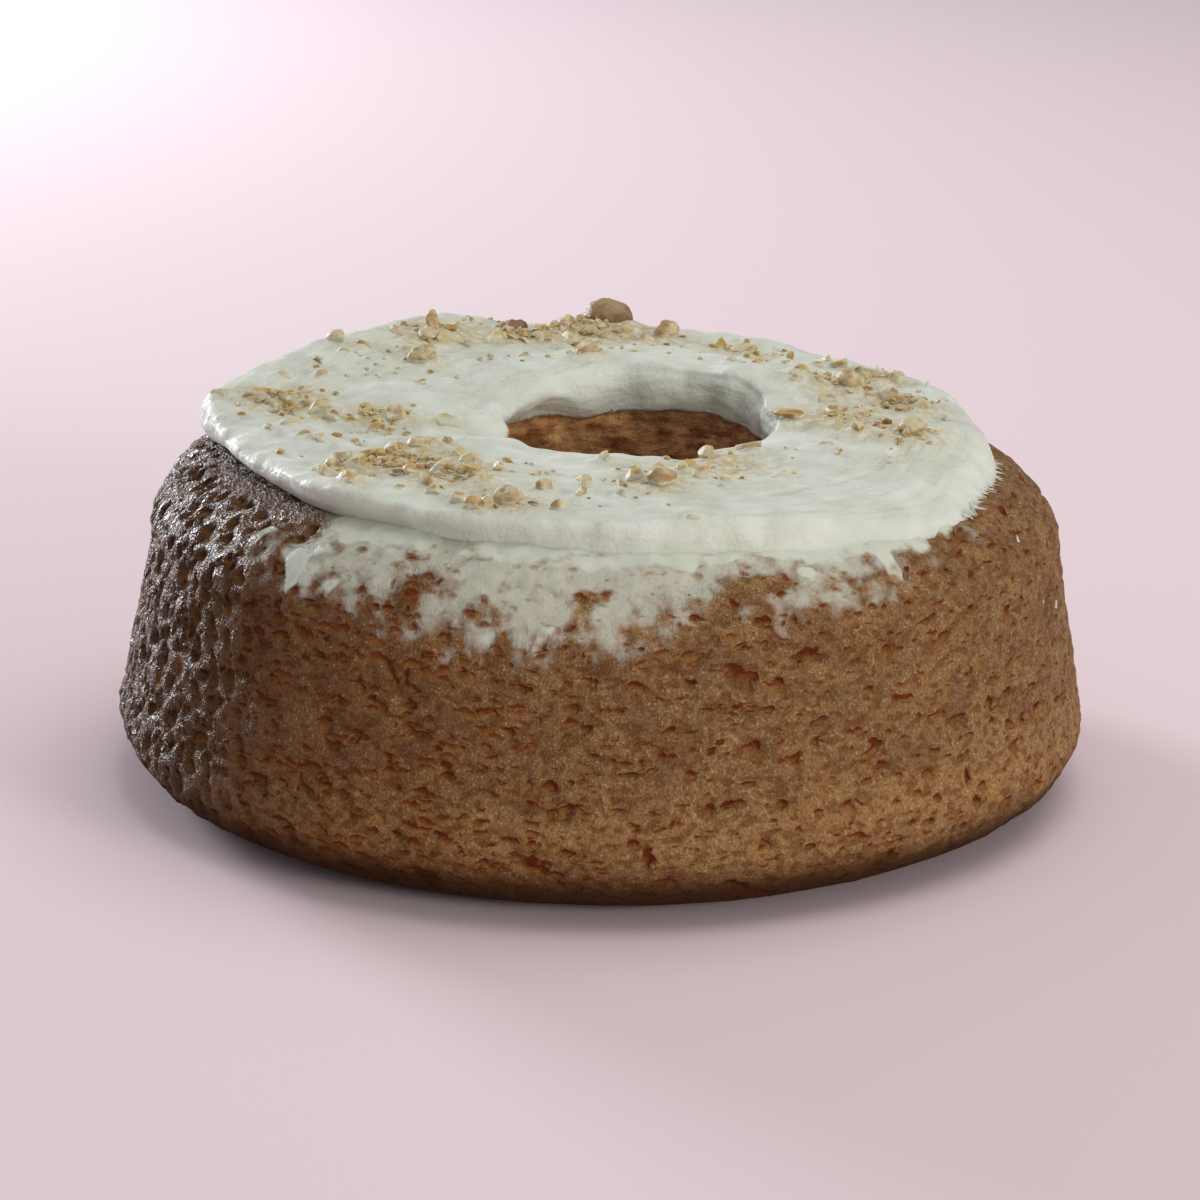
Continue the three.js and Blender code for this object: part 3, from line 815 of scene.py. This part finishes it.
def make_sponge():
    """The baked ring: an uneven skin with pits and smears of icing, and torn crumb in the hole."""
    section = sponge_section()
    rows = len(section)
    mesh, order = ring("sponge_ring", rows, SPONGE_COLUMNS)
    bearing = bearings_of(SPONGE_COLUMNS)[None, :]
    radius, height = section[:, :1], section[:, 1:]
    even = baked(radius + 0 * bearing, bearing + 0 * radius, height + 0 * bearing)
    outward = grid_normals(even)

    last_outside = BASE_ROWS + FOOT_ROWS + SIDE_ROWS + SHOULDER_ROWS
    row = np.arange(rows)[:, None]
    outside = (row > BASE_ROWS) & (row < last_outside)
    hole = row >= last_outside + TOP_ROWS + BRINK_ROWS
    off_floor = smoothstep(height, 0.4, 5)
    film, dab = smear_cover(bearing + 0 * radius, even)
    smear = np.maximum(0.6 * film, dab) * outside
    depth, pit, pit_up = pit_relief(section, even)
    bare = 1 - 0.85 * smoothstep(smear, 0.25, 0.7)
    lumps = 0.22 * ripple(even, 16, 1)
    lumps += 0.14 * ripple(even * (1, 1, 1.5), 5, 2) + 0.07 * ripple(even, 2.6, 3)
    torn = 0.5 * ripple(even * (0.5, 0.5, 1.4), 6, 4) + 0.25 * ripple(even, 3, 5)
    push = outside * (lumps - depth * bare + 0.4 * smoothstep(dab, 0.2, 1)) + hole * torn
    spots = even + outward * (push * off_floor)[..., None]

    set_spots(mesh, order, spots)
    # What the crust reads: pits, the moist side that also takes painted shade, the foot, a band of painted
    # light, smears, crumb
    for name, values in {
        "pit": pit,
        "pit_up": pit_up,
        "moist_and_shaded": rise(bearing, *MOIST_SIDE) * outside,
        "torn": rise(bearing, *TORN_SIDE) * outside,
        "smear": film * outside,
        "dab": dab * outside,
        "low": (1 - smoothstep(even[..., 2], *DARK_FOOT)) * outside,
        "painted_belly_light": fade(even[..., 2] - BELLY_HEIGHT, BELLY_WIDTH) * outside,
        "crumb": hole * lerp(0.5, 1, smoothstep(ripple(even, 6, 6), -1.2, 0.8)),
    }.items():
        set_values(mesh, name, order, values)
    mesh.shade_smooth()
    return add_piece("sponge_ring", mesh, crust_material(), "sponge", "sponge")


# Icing

def icing_top_controls(bearing):
    """The points that the icing's top line runs through at each bearing, from its foot into the hole."""
    turn = np.radians(bearing)
    slope = rise(bearing, *SLOPE)
    foot_radius = ICING_FOOT_RADIUS + rises_at(bearing, FOOT_REACH) + waves_at(bearing, FOOT_WAVES)
    foot_height = shoulder_height(foot_radius) + ICING_GAP
    brow_radius = foot_radius - 1 + rises_at(bearing, BROW_REACH)
    brow_height = ICING_BROW_HEIGHT + rises_at(bearing, BROW_LIFT) + waves_at(bearing, TOP_WAVES)
    bulge = lerp(ICING_BULGE, 0.6 * ICING_BULGE, slope)

    def face_spot(inward, upward, swelling):
        radius = lerp(foot_radius, brow_radius, inward) + swelling * bulge
        return radius, lerp(foot_height, brow_height, upward)

    middle_radius = ICING_MIDDLE_RADIUS - 3 * slope
    middle_height = ICING_MIDDLE_HEIGHT + rises_at(bearing, MIDDLE_LIFT) + waves_at(bearing, TOP_WAVES)
    crest_height = ICING_CREST_HEIGHT + rises_at(bearing, CREST_LIFT) + waves_at(bearing, CREST_WAVES)
    hole_offset = ICING_HOLE_SHIFT[0] * np.cos(turn) + ICING_HOLE_SHIFT[1] * np.sin(turn)
    hole_radius = ICING_HOLE_RADIUS + hole_offset + waves_at(bearing, HOLE_WAVES)
    roll = ICING_ROLL + rises_at(bearing, ROLL_REACH)
    tip_height = TOP_HEIGHT - HOLE_ROUND - ICING_TIP_DROP + waves_at(bearing, TIP_WAVES)
    controls = [
        (foot_radius, foot_height),
        face_spot(0.1, 0.2, 0.7),
        face_spot(0.35, 0.55, 1),
        face_spot(0.7, 0.88, 0.6),
        face_spot(1, 1, -1),
        (lerp(brow_radius, ICING_MIDDLE_RADIUS, 0.5), lerp(brow_height, middle_height, 0.6)),
        (middle_radius, middle_height),
        (hole_radius + roll, crest_height),
        (hole_radius + 0.3 * roll, lerp(crest_height, tip_height, 0.2)),
        (hole_radius, lerp(crest_height, tip_height, 0.55)),
        (wall_radius(tip_height) - ICING_GAP, tip_height),
    ]
    lip = np.clip(rises_at(bearing, LIP_LIFT) / LIP_LIFT[0][2], 0, 1)
    thin_radius = foot_radius + ICING_FLARE * (1 - lip) * (1 - rise(bearing, *FLARE_GAP))
    thin_height = shoulder_height(thin_radius) - 0.3
    controls[0] = (lerp(thin_radius, foot_radius, lip), lerp(thin_height, foot_height, lip))
    return np.array(controls).transpose(0, 2, 1)


def smooth_line(controls, steps):
    """A smooth line through the points, by step, bearing, and radius and height."""
    padded = np.concatenate([controls[:1], controls, controls[-1:]])
    way = np.linspace(0, len(controls) - 1, steps + 1)
    span = np.minimum(way.astype(int), len(controls) - 2)
    share = (way - span)[:, None, None]
    before, start, end, after = (padded[span + offset] for offset in range(4))
    leaving, arriving = (end - before) / 2, (after - start) / 2
    bend = 2 * start - 2 * end + leaving + arriving
    turn = -3 * start + 3 * end - 2 * leaving - arriving
    return ((bend * share + turn) * share + leaving) * share + start


def evenly_spaced(line, count):
    """A line's points spread evenly along it at each bearing."""
    lengths = np.linalg.norm(np.diff(line, axis=0), axis=-1)
    way = np.concatenate([np.zeros((1, line.shape[1])), np.cumsum(lengths, axis=0)])
    spaced = np.empty((count, *line.shape[1:]))
    for column in range(line.shape[1]):
        stops = np.linspace(0, way[-1, column], count)
        for part in range(2):
            spaced[:, column, part] = np.interp(stops, way[:, column], line[:, column, part])
    return spaced


def icing_height(bearing, radius):
    """The height of the icing's top at one bearing and radius, inward from where it is widest."""
    line = smooth_line(icing_top_controls(np.array([bearing])), 200)[:, 0]
    inward = line[np.argmax(line[:, 0]):]
    return np.interp(-radius, -inward[:, 0], inward[:, 1])


def nut_spot(bearing, radius):
    return baked(radius, bearing, icing_height(bearing, radius))


def draws(seed):
    """The run of numbers from 0 to 1 that also places the nuts in the solids."""
    whole = 2 ** 32
    state = seed
    while True:
        state = (state + 0x6D2B79F5) % whole
        mix = ((state ^ state >> 15) * (state | 1)) % whole
        mix ^= (mix + (mix ^ mix >> 7) * (mix | 61)) % whole
        yield (mix ^ mix >> 14) / whole


def nut_chance(bearing, radius):
    """How readily nuts lie at a spot: seldom on the slope or on the sheet that runs into the hole."""
    on_slope = rise(bearing, SLOPE[0] - 12, 34) * smoothstep(radius, 44, 52)
    on_sheet = rise(bearing, SHEET[0], 32) * (1 - smoothstep(radius, 40, 46))
    return 0.9 - 0.88 * on_slope - 0.8 * on_sheet


def nut_places():
    """The bearing, radius and size of each small nut, where the solids have them."""
    draw = draws(PLACE_SEED)
    next(draw)
    taken = [(baked(radius, bearing, 0), size) for bearing, radius, size in CHUNKS + CLUSTERED_NUTS]
    scattered = []
    while len(scattered) < SCATTER_COUNT:
        size = lerp(SCATTER_LARGEST, SCATTER_SMALLEST, len(scattered) / SCATTER_COUNT)
        bearing = lerp(-180, 180, next(draw))
        radius = math.sqrt(lerp(SCATTER_INNER ** 2, SCATTER_OUTER ** 2, next(draw)))
        spot = baked(radius, bearing, 0)
        is_clear = all(
            np.linalg.norm(spot - other) > (size + other_size) / 2 + SCATTER_SPACING
            for other, other_size in taken
        )
        if next(draw) < nut_chance(bearing, radius) and is_clear:
            scattered.append((bearing, radius, size))
            taken.append((spot, size))
    return CLUSTERED_NUTS + scattered


def icing_section(bearing):
    """Radius and height by row and bearing: round the sponge's brink, along the underside, over the top."""
    top = evenly_spaced(smooth_line(icing_top_controls(bearing), 240), ICING_ROWS)
    lip = rises_at(bearing, LIP_LIFT)
    brink_round = HOLE_ROUND + ICING_GAP
    brink = quarter(
        HOLE_TOP_RADIUS + HOLE_ROUND, TOP_HEIGHT - HOLE_ROUND, brink_round, brink_round, 1, BRINK_ROWS,
    )[::-1]
    under_radius = lerp(brink[-1, 0], top[0, :, 0], np.linspace(0, 1, UNDER_ROWS + 2)[1:-1, None])
    outward = np.clip((under_radius - TOP_RADIUS) / (top[0, :, 0] - TOP_RADIUS), 0, 1)
    under_height = shoulder_height(under_radius) + ICING_GAP + lip * outward ** 2
    under = np.stack([under_radius, under_height], axis=-1)
    face = 1 - smoothstep(np.arange(ICING_ROWS), 0, 8)[:, None]
    top[..., 1] += face * lip
    rounds = np.repeat(brink[:, None, :], len(bearing), axis=1)
    return np.concatenate([rounds, under, top])


def icing_relief(bearing, share, is_top, on_top, even, polar):
    """How far the knife's strokes, waves, folds and sags stand out of the icing's top."""
    strokes = ripple(polar * (0.12, 0.12, 1), 2.6, 11)
    waves = ripple(polar * (0.4, 0.4, 1), 10, 12)
    lumps = ripple(even, 6, 13)
    near_hole = smoothstep(share, 0.72, 0.88)
    folds = ripple(polar * (0.8, 0.8, 0.6), 15, 14) + 0.4 * ripple(even, 7, 17)
    on_face = on_top * (1 - smoothstep(share, 0.16, 0.34))
    wrinkles = ripple(even, 7, 19) + 0.7 * ripple(even, 3.2, 20)
    sags = ripple(polar * (0.6, 0.6, 0.3), 12, 18) + 0.3 * rise(bearing, *LIP_LIFT[0][:2]) * wrinkles
    ragged = rise(bearing, -14, 18) * is_top * (1 - smoothstep(share, 0.02, 0.16))
    feather = ripple(polar * (1, 1, 0.15), 1.9, 15) + 0.7 * ripple(polar * (1, 1, 0.15), 1.1, 16)
    push = on_top * (0.11 * strokes + 0.28 * waves + 0.18 * lumps + 0.4 * near_hole * folds)
    push += 0.4 * on_face * sags + 0.12 * ragged * feather
    return push


def press_nuts(nuts, spots, on_top):
    """Swells the icing up round each nut, and tells how far nuts and heaps of crumbs stain each spot."""
    clean = np.ones(spots.shape[:2])
    for bearing, radius, size in nuts:
        apart = np.linalg.norm((spots - nut_spot(bearing, radius))[..., :2], axis=-1)
        spots[..., 2] += on_top * 0.2 * size * fade(apart, 0.62 * size)
        clean *= 1 - 0.5 * smoothstep(size, 1.5, 5) * fade(apart, 1.2 * size)
    for bearing, radius, width, _ in NUT_HEAPS:
        apart = np.linalg.norm((spots - nut_spot(bearing, radius))[..., :2], axis=-1)
        clean *= 1 - 0.75 * fade(apart, 1.2 * width)
    return 1 - clean


def make_icing(nuts):
    """The icing spread over the sponge's top, as the knife left it."""
    bearing = bearings_of(ICING_COLUMNS)
    section = icing_section(bearing)
    rows = len(section)
    mesh, order = ring("icing_spread", rows, ICING_COLUMNS)
    bearing = bearing[None, :] + np.zeros((rows, 1))
    even = baked(section[..., 0], bearing, section[..., 1])
    outward = grid_normals(even)

    row = np.arange(rows)[:, None]
    first = rows - ICING_ROWS
    is_top = row >= first
    share = np.clip((row - first) / ICING_ROWS, 0, 1)
    on_top = is_top * smoothstep(share, 0, 0.06)
    turn = np.radians(bearing)
    inward_way = share * ICING_SPAN + np.zeros_like(bearing)
    polar = np.stack([STROKE_RADIUS * np.cos(turn), STROKE_RADIUS * np.sin(turn), inward_way], axis=-1)
    push = icing_relief(bearing, share, is_top, on_top, even, polar)
    spots = even + outward * push[..., None]
    stain = press_nuts(nuts + CHUNKS, spots, on_top)
    set_spots(mesh, order, spots)
    set_values(mesh, "stain", order, stain * smoothstep(outward[..., 2], 0.7, 0.9))
    set_vectors(mesh, "way", order, polar)
    mesh.shade_smooth()
    return add_piece("icing_spread", mesh, icing_material(), "icing", "icing")


# Nuts

def broken_lump(random, fineness, cuts, rounding):
    """A lump about 1 across with flat broken faces, as points and triangles."""
    lump = bmesh.new()
    bmesh.ops.create_icosphere(lump, subdivisions=fineness, radius=LUMP_RADIUS)
    for _ in range(cuts):
        facing = Vector(random.normal(size=3)).normalized()
        cut = bmesh.ops.bisect_plane(
            lump, geom=lump.verts[:] + lump.edges[:] + lump.faces[:],
            plane_co=facing * random.uniform(*CUT_DISTANCES), plane_no=facing, clear_outer=True,
        )
        rim = [part for part in cut["geom_cut"] if isinstance(part, bmesh.types.BMEdge)]
        bmesh.ops.edgeloop_fill(lump, edges=rim)
    bmesh.ops.remove_doubles(lump, verts=lump.verts, dist=0.02)
    if rounding:
        sharp = [edge for edge in lump.edges if edge.is_manifold and edge.calc_face_angle() > 0.5]
        bmesh.ops.bevel(
            lump, geom=sharp, offset=rounding, segments=2, profile=0.5, affect="EDGES", material=-1,
            clamp_overlap=True,
        )
    return points_and_triangles(lump)


def turns(random, count):
    """Random turns as matrices."""
    parts = random.normal(size=(count, 4))
    w, x, y, z = (parts / np.linalg.norm(parts, axis=1, keepdims=True)).T
    return np.stack([
        np.stack([1 - 2 * (y * y + z * z), 2 * (x * y - w * z), 2 * (x * z + w * y)], -1),
        np.stack([2 * (x * y + w * z), 1 - 2 * (x * x + z * z), 2 * (y * z - w * x)], -1),
        np.stack([2 * (x * z - w * y), 2 * (y * z + w * x), 1 - 2 * (x * x + y * y)], -1),
    ], 1)


def scattered_mesh(name, random, shapes, spots, sizes, stretch, sunk):
    """One mesh of many pieces, each a shape stretched, turned, scaled and put at its spot."""
    points, faces, tints, ices = [], [], [], []
    start = 0
    for spot, size, tumble in zip(spots, sizes, turns(random, len(spots))):
        shape_points, shape_faces = shapes[random.integers(len(shapes))]
        spin = random.uniform(0, 2 * math.pi)
        cosine, sine = math.cos(spin), math.sin(spin)
        flat_turn = np.array([[cosine, -sine, 0], [sine, cosine, 0], [0, 0, 1]])
        broken = (shape_points @ tumble.T * stretch * random.uniform(0.75, 1.25, 3)) @ flat_turn.T
        points.append(broken * size + spot)
        ices.append(1 - smoothstep(broken[:, 2], sunk, sunk + 0.2))
        faces.append(shape_faces + start)
        tints.append(np.full(len(shape_points), random.uniform()))
        start += len(shape_points)
    mesh = joined_mesh(name, points, faces)
    set_values(mesh, "tint", np.arange(start), np.concatenate(tints))
    set_values(mesh, "iced", np.arange(start), np.concatenate(ices))
    mesh.set_sharp_from_angle(angle=math.radians(SHARP_ANGLE))
    return mesh


def make_nuts(random, places, cream, golden):
    """The small nuts where the solids have them, every fourth one golden."""
    kernels = [broken_lump(random, 2, KERNEL_CUTS, KERNEL_ROUNDING) for _ in range(KERNEL_SHAPES)]
    spots = np.array([nut_spot(bearing, radius) for bearing, radius, _ in places])
    sizes = np.array([size for _, _, size in places])
    spots[:, 2] += 0.75 * sizes * (0.36 - NUT_SUNK)
    is_golden = np.arange(len(places)) % 4 == 1
    for name, chosen, material in (("nuts_cream", ~is_golden, cream), ("nuts_golden", is_golden, golden)):
        mesh = scattered_mesh(
            name, random, kernels, spots[chosen], KERNEL_SCALE * sizes[chosen], KERNEL_STRETCH, KERNEL_ICED,
        )
        add_piece(name, mesh, material, "nut")


def crumb_places(random, icing):
    """Spots on the icing and sizes for the crumbs, most of them in heaps."""
    surface = BVHTree.FromObject(icing, bpy.context.evaluated_depsgraph_get())
    weights = np.array([heap[3] for heap in NUT_HEAPS], float)
    spots, sizes = [], []
    while len(spots) < CRUMB_COUNT:
        in_heap = random.uniform() < HEAP_SHARE
        bearing, radius, width, _ = NUT_HEAPS[random.choice(len(NUT_HEAPS), p=weights / weights.sum())]
        if not in_heap:
            bearing, radius, width = random.uniform(-180, 180), random.uniform(*LOOSE_RADII), LOOSE_WIDTH
        middle = baked(radius, bearing, 0)
        x, y = middle[:2] + random.normal(0, 0.6 * width, 2)
        size = random.gamma(4, 0.3) + 0.4 if in_heap else random.gamma(4, 0.2) + 0.3
        hit, facing, _, _ = surface.ray_cast(Vector((x * MM, y * MM, 0.2)), Vector((0, 0, -1)))
        bare_slope = random.uniform() > nut_chance(bearing, radius)
        if hit is not None and hit.z > CRUMB_LOWEST * MM and facing.z > CRUMB_STEEPEST and not bare_slope:
            spots.append(np.array(hit) / MM + (0, 0, 0.06 * size))
            sizes.append(size)
    return np.array(spots), np.array(sizes)


def make_crumbs(random, icing, cream, golden, flake):
    """Crumbs of nut and flakes of its skin, one piece a kind."""
    shapes = [broken_lump(random, 1, CRUMB_CUTS, 0) for _ in range(CRUMB_SHAPES)]
    spots, sizes = crumb_places(random, icing)
    kind = random.uniform(size=len(sizes))
    is_cream = kind < CREAM_SHARE
    is_flake = kind >= CREAM_SHARE + GOLDEN_SHARE
    kinds = (
        ("nut_crumbs_cream", is_cream, cream, "nut", CREAM_CRUMB_STRETCH),
        ("nut_crumbs_golden", ~is_cream & ~is_flake, golden, "nut", GOLDEN_CRUMB_STRETCH),
        ("nut_skin_flakes", is_flake, flake, "nut_skin", FLAKE_STRETCH),
    )
    for name, chosen, material, slot, stretch in kinds:
        mesh = scattered_mesh(name, random, shapes, spots[chosen], sizes[chosen], stretch, CRUMB_ICED)
        add_piece(name, mesh, material, slot)


def make_chunks(cream, skin):
    """The nut pieces with solids of their own, their edges worn and their faces uneven."""
    names = sorted(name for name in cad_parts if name.startswith("nut_chunk"))
    half = nut_material("hazelnut_half", *HAZELNUT_HALF)
    for index, name in enumerate(names):
        lump = bmesh.new()
        lump.from_mesh(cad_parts[name].data)
        bmesh.ops.remove_doubles(lump, verts=lump.verts, dist=0.02 * MM)
        for _ in range(2):
            bmesh.ops.subdivide_edges(lump, edges=lump.edges, cuts=1, use_grid_fill=True)
            bmesh.ops.smooth_vert(
                lump, verts=lump.verts, factor=0.5, use_axis_x=True, use_axis_y=True, use_axis_z=True,
            )
        bmesh.ops.subdivide_edges(lump, edges=lump.edges, cuts=1, use_grid_fill=True)
        lump.normal_update()
        spots = np.array([vert.co for vert in lump.verts]) / MM
        relief = 0.16 * ripple(spots, 2.6, 30 + index) + 0.06 * ripple(spots, 1.1, 50 + index) + 0.12
        for vert, push in zip(lump.verts, relief):
            vert.co += vert.normal * push * MM
        bmesh.ops.triangulate(lump, faces=lump.faces)
        mesh = bpy.data.meshes.new(name + "_worn")
        lump.to_mesh(mesh)
        lump.free()
        order = np.arange(len(spots))
        share = (spots[:, 2] - spots[:, 2].min()) / np.ptp(spots[:, 2])
        set_values(mesh, "tint", order, np.full(len(spots), (index * 0.37) % 1))
        set_values(mesh, "iced", order, 1 - smoothstep(share, 0.4, 0.62))
        mesh.shade_smooth()
        is_skin = name == SKINNED_CHUNK
        material = skin if is_skin else half if index == 0 else cream
        add_piece(name + "_worn", mesh, material, "nut_skin" if is_skin else "nut", name)


# Wisps

def tapered_spike():
    """A spike 1 long that leans over, its foot round and its end pointed, as points and triangles."""
    spike = bmesh.new()
    bmesh.ops.create_cone(spike, cap_ends=True, segments=7, radius1=0.5, radius2=0.04, depth=1)
    bmesh.ops.translate(spike, verts=spike.verts, vec=(0, 0, 0.5))
    lengthwise = [edge for edge in spike.edges if abs(edge.verts[0].co.z - edge.verts[1].co.z) > 0.5]
    bmesh.ops.subdivide_edges(spike, edges=lengthwise, cuts=4)
    for vert in spike.verts:
        along = vert.co.z
        fullness = (1.02 - along) ** -0.25
        vert.co = (vert.co.x * fullness + 0.3 * along * along, vert.co.y * fullness, along)
    return points_and_triangles(spike)


def make_wisps(material):
    """Small peaks on the icing's rim, wisps at its ragged edge and a few flecks of it on the crust."""
    random = np.random.default_rng(WISP_SEED)
    spike_points, spike_faces = tapered_spike()
    points, faces = [], []

    def add_spike(foot, along, length, width):
        along = along / np.linalg.norm(along)
        side = np.cross(along, random.normal(size=3))
        side /= np.linalg.norm(side)
        axes = np.stack([side, np.cross(along, side), along])
        faces.append(spike_faces + len(spike_points) * len(points))
        points.append(spike_points * (width, width, length) @ axes + foot)

    for bearing, radius, height, width in ICING_PEAKS:
        foot = nut_spot(bearing, radius) - (0, 0, 0.5)
        add_spike(foot, random.normal(0, 0.35, 3) + (0, 0, 1), height, width)
    for _ in range(WISP_COUNT):
        bearing = random.uniform(*WISP_BEARINGS)
        foot_radius = icing_top_controls(np.array([bearing]))[0, 0, 0]
        inset = random.uniform(0.4, 3.2)
        foot = baked(foot_radius - inset, bearing, shoulder_height(foot_radius - inset) + 0.5)
        reach = foot_radius + 1.5
        end_bearing = bearing + random.normal(2.4, 2)
        beyond = baked(reach, end_bearing, shoulder_height(reach) + random.uniform(0, 0.8))
        add_spike(foot, beyond - foot, inset + random.gamma(4, 0.3), random.uniform(0.3, 0.8))
    section = sponge_section()[BASE_ROWS + FOOT_ROWS:][:SIDE_ROWS + SHOULDER_ROWS]
    for bearing, height, size in ICING_FLECKS:
        radius = np.interp(height, section[:, 1], section[:, 0])
        foot = baked(radius - 0.2, bearing, height)
        add_spike(foot, random.normal(0, 0.5, 3) + (0, 0, 1), size, 0.6 * size)
    mesh = joined_mesh("icing_wisps", points, faces)
    return add_piece("icing_wisps", mesh, material, "icing")


# Studio

def add_light(name, place, size, power, colour):
    lamp = bpy.data.lights.new(name, "AREA")
    lamp.shape = "RECTANGLE"
    lamp.size, lamp.size_y = size
    lamp.energy = power
    lamp.color = colour
    holder = bpy.data.objects.new(name, lamp)
    holder.location = place
    holder.rotation_euler = (Vector(LIGHT_AIM) - Vector(place)).to_track_quat("-Z", "Y").to_euler()
    bpy.context.scene.collection.objects.link(holder)


def make_studio():
    """The floor, the sky and the lights."""
    floor = bmesh.new()
    lowered = Matrix.Translation((0, 0, -FLOOR_DROP))
    bmesh.ops.create_grid(floor, x_segments=8, y_segments=8, size=FLOOR_HALF, matrix=lowered)
    mesh = bpy.data.meshes.new("floor")
    floor.to_mesh(mesh)
    floor.free()
    material, _, shader = new_material("pale_floor")
    shader.inputs["Base Color"].default_value = shade(*GROUND_PINK)
    shader.inputs["Roughness"].default_value = 0.9
    shader.inputs["Specular IOR Level"].default_value = 0
    mesh.materials.append(material)
    table = bpy.data.objects.new("floor", mesh)
    bpy.context.scene.collection.objects.link(table)

    world = bpy.data.worlds.new("studio")
    world.use_nodes = True
    sky = world.node_tree.nodes["Background"]
    sky.inputs["Color"].default_value = SKY_COLOUR
    sky.inputs["Strength"].default_value = SKY_STRENGTH
    bpy.context.scene.world = world
    for name, light in LIGHTS.items():
        add_light(name, *light)
    bpy.context.scene.view_settings.view_transform = "Standard"


def make_camera():
    """The viewing angle of the picture: slightly above, from the front, tipped by about a degree."""
    elevation, roll = math.radians(CAMERA_ELEVATION), math.radians(CAMERA_ROLL)
    right = Vector((1, 0, 0))
    up = Vector((0, math.sin(elevation), math.cos(elevation)))
    tipped_right = right * math.cos(roll) + up * math.sin(roll)
    lens = bpy.data.cameras.new("camera")
    lens.lens = CAMERA_LENS
    lens.sensor_width = 36
    lens.clip_start = 0.05
    lens.clip_end = 20
    camera = bpy.data.objects.new("camera", lens)
    backward = Vector((0, -math.cos(elevation), math.sin(elevation)))
    place = Vector(CAMERA_CENTRE) + backward * CAMERA_DISTANCE
    back = (place - Vector(CAMERA_AIM)).normalized()
    side = (tipped_right - back * tipped_right.dot(back)).normalized()
    axes = Matrix((side, back.cross(side), back)).transposed()
    camera.matrix_world = Matrix.Translation(place) @ axes.to_4x4()
    bpy.context.scene.collection.objects.link(camera)
    bpy.context.scene.camera = camera


make_camera()
make_studio()
places = nut_places()
make_sponge()
icing_piece = make_icing(places)
nut_random = np.random.default_rng(NUT_SEED)
cream_kernel = nut_material("cream_kernel", *CREAM_KERNEL)
golden_kernel = nut_material("golden_kernel", *GOLDEN_KERNEL)
skin_flake = nut_material("nut_skin_flake", *SKIN_FLAKE)
make_nuts(nut_random, places, cream_kernel, golden_kernel)
make_crumbs(nut_random, icing_piece, cream_kernel, golden_kernel, skin_flake)
make_chunks(cream_kernel, skin_flake)
make_wisps(icing_piece.data.materials[0])
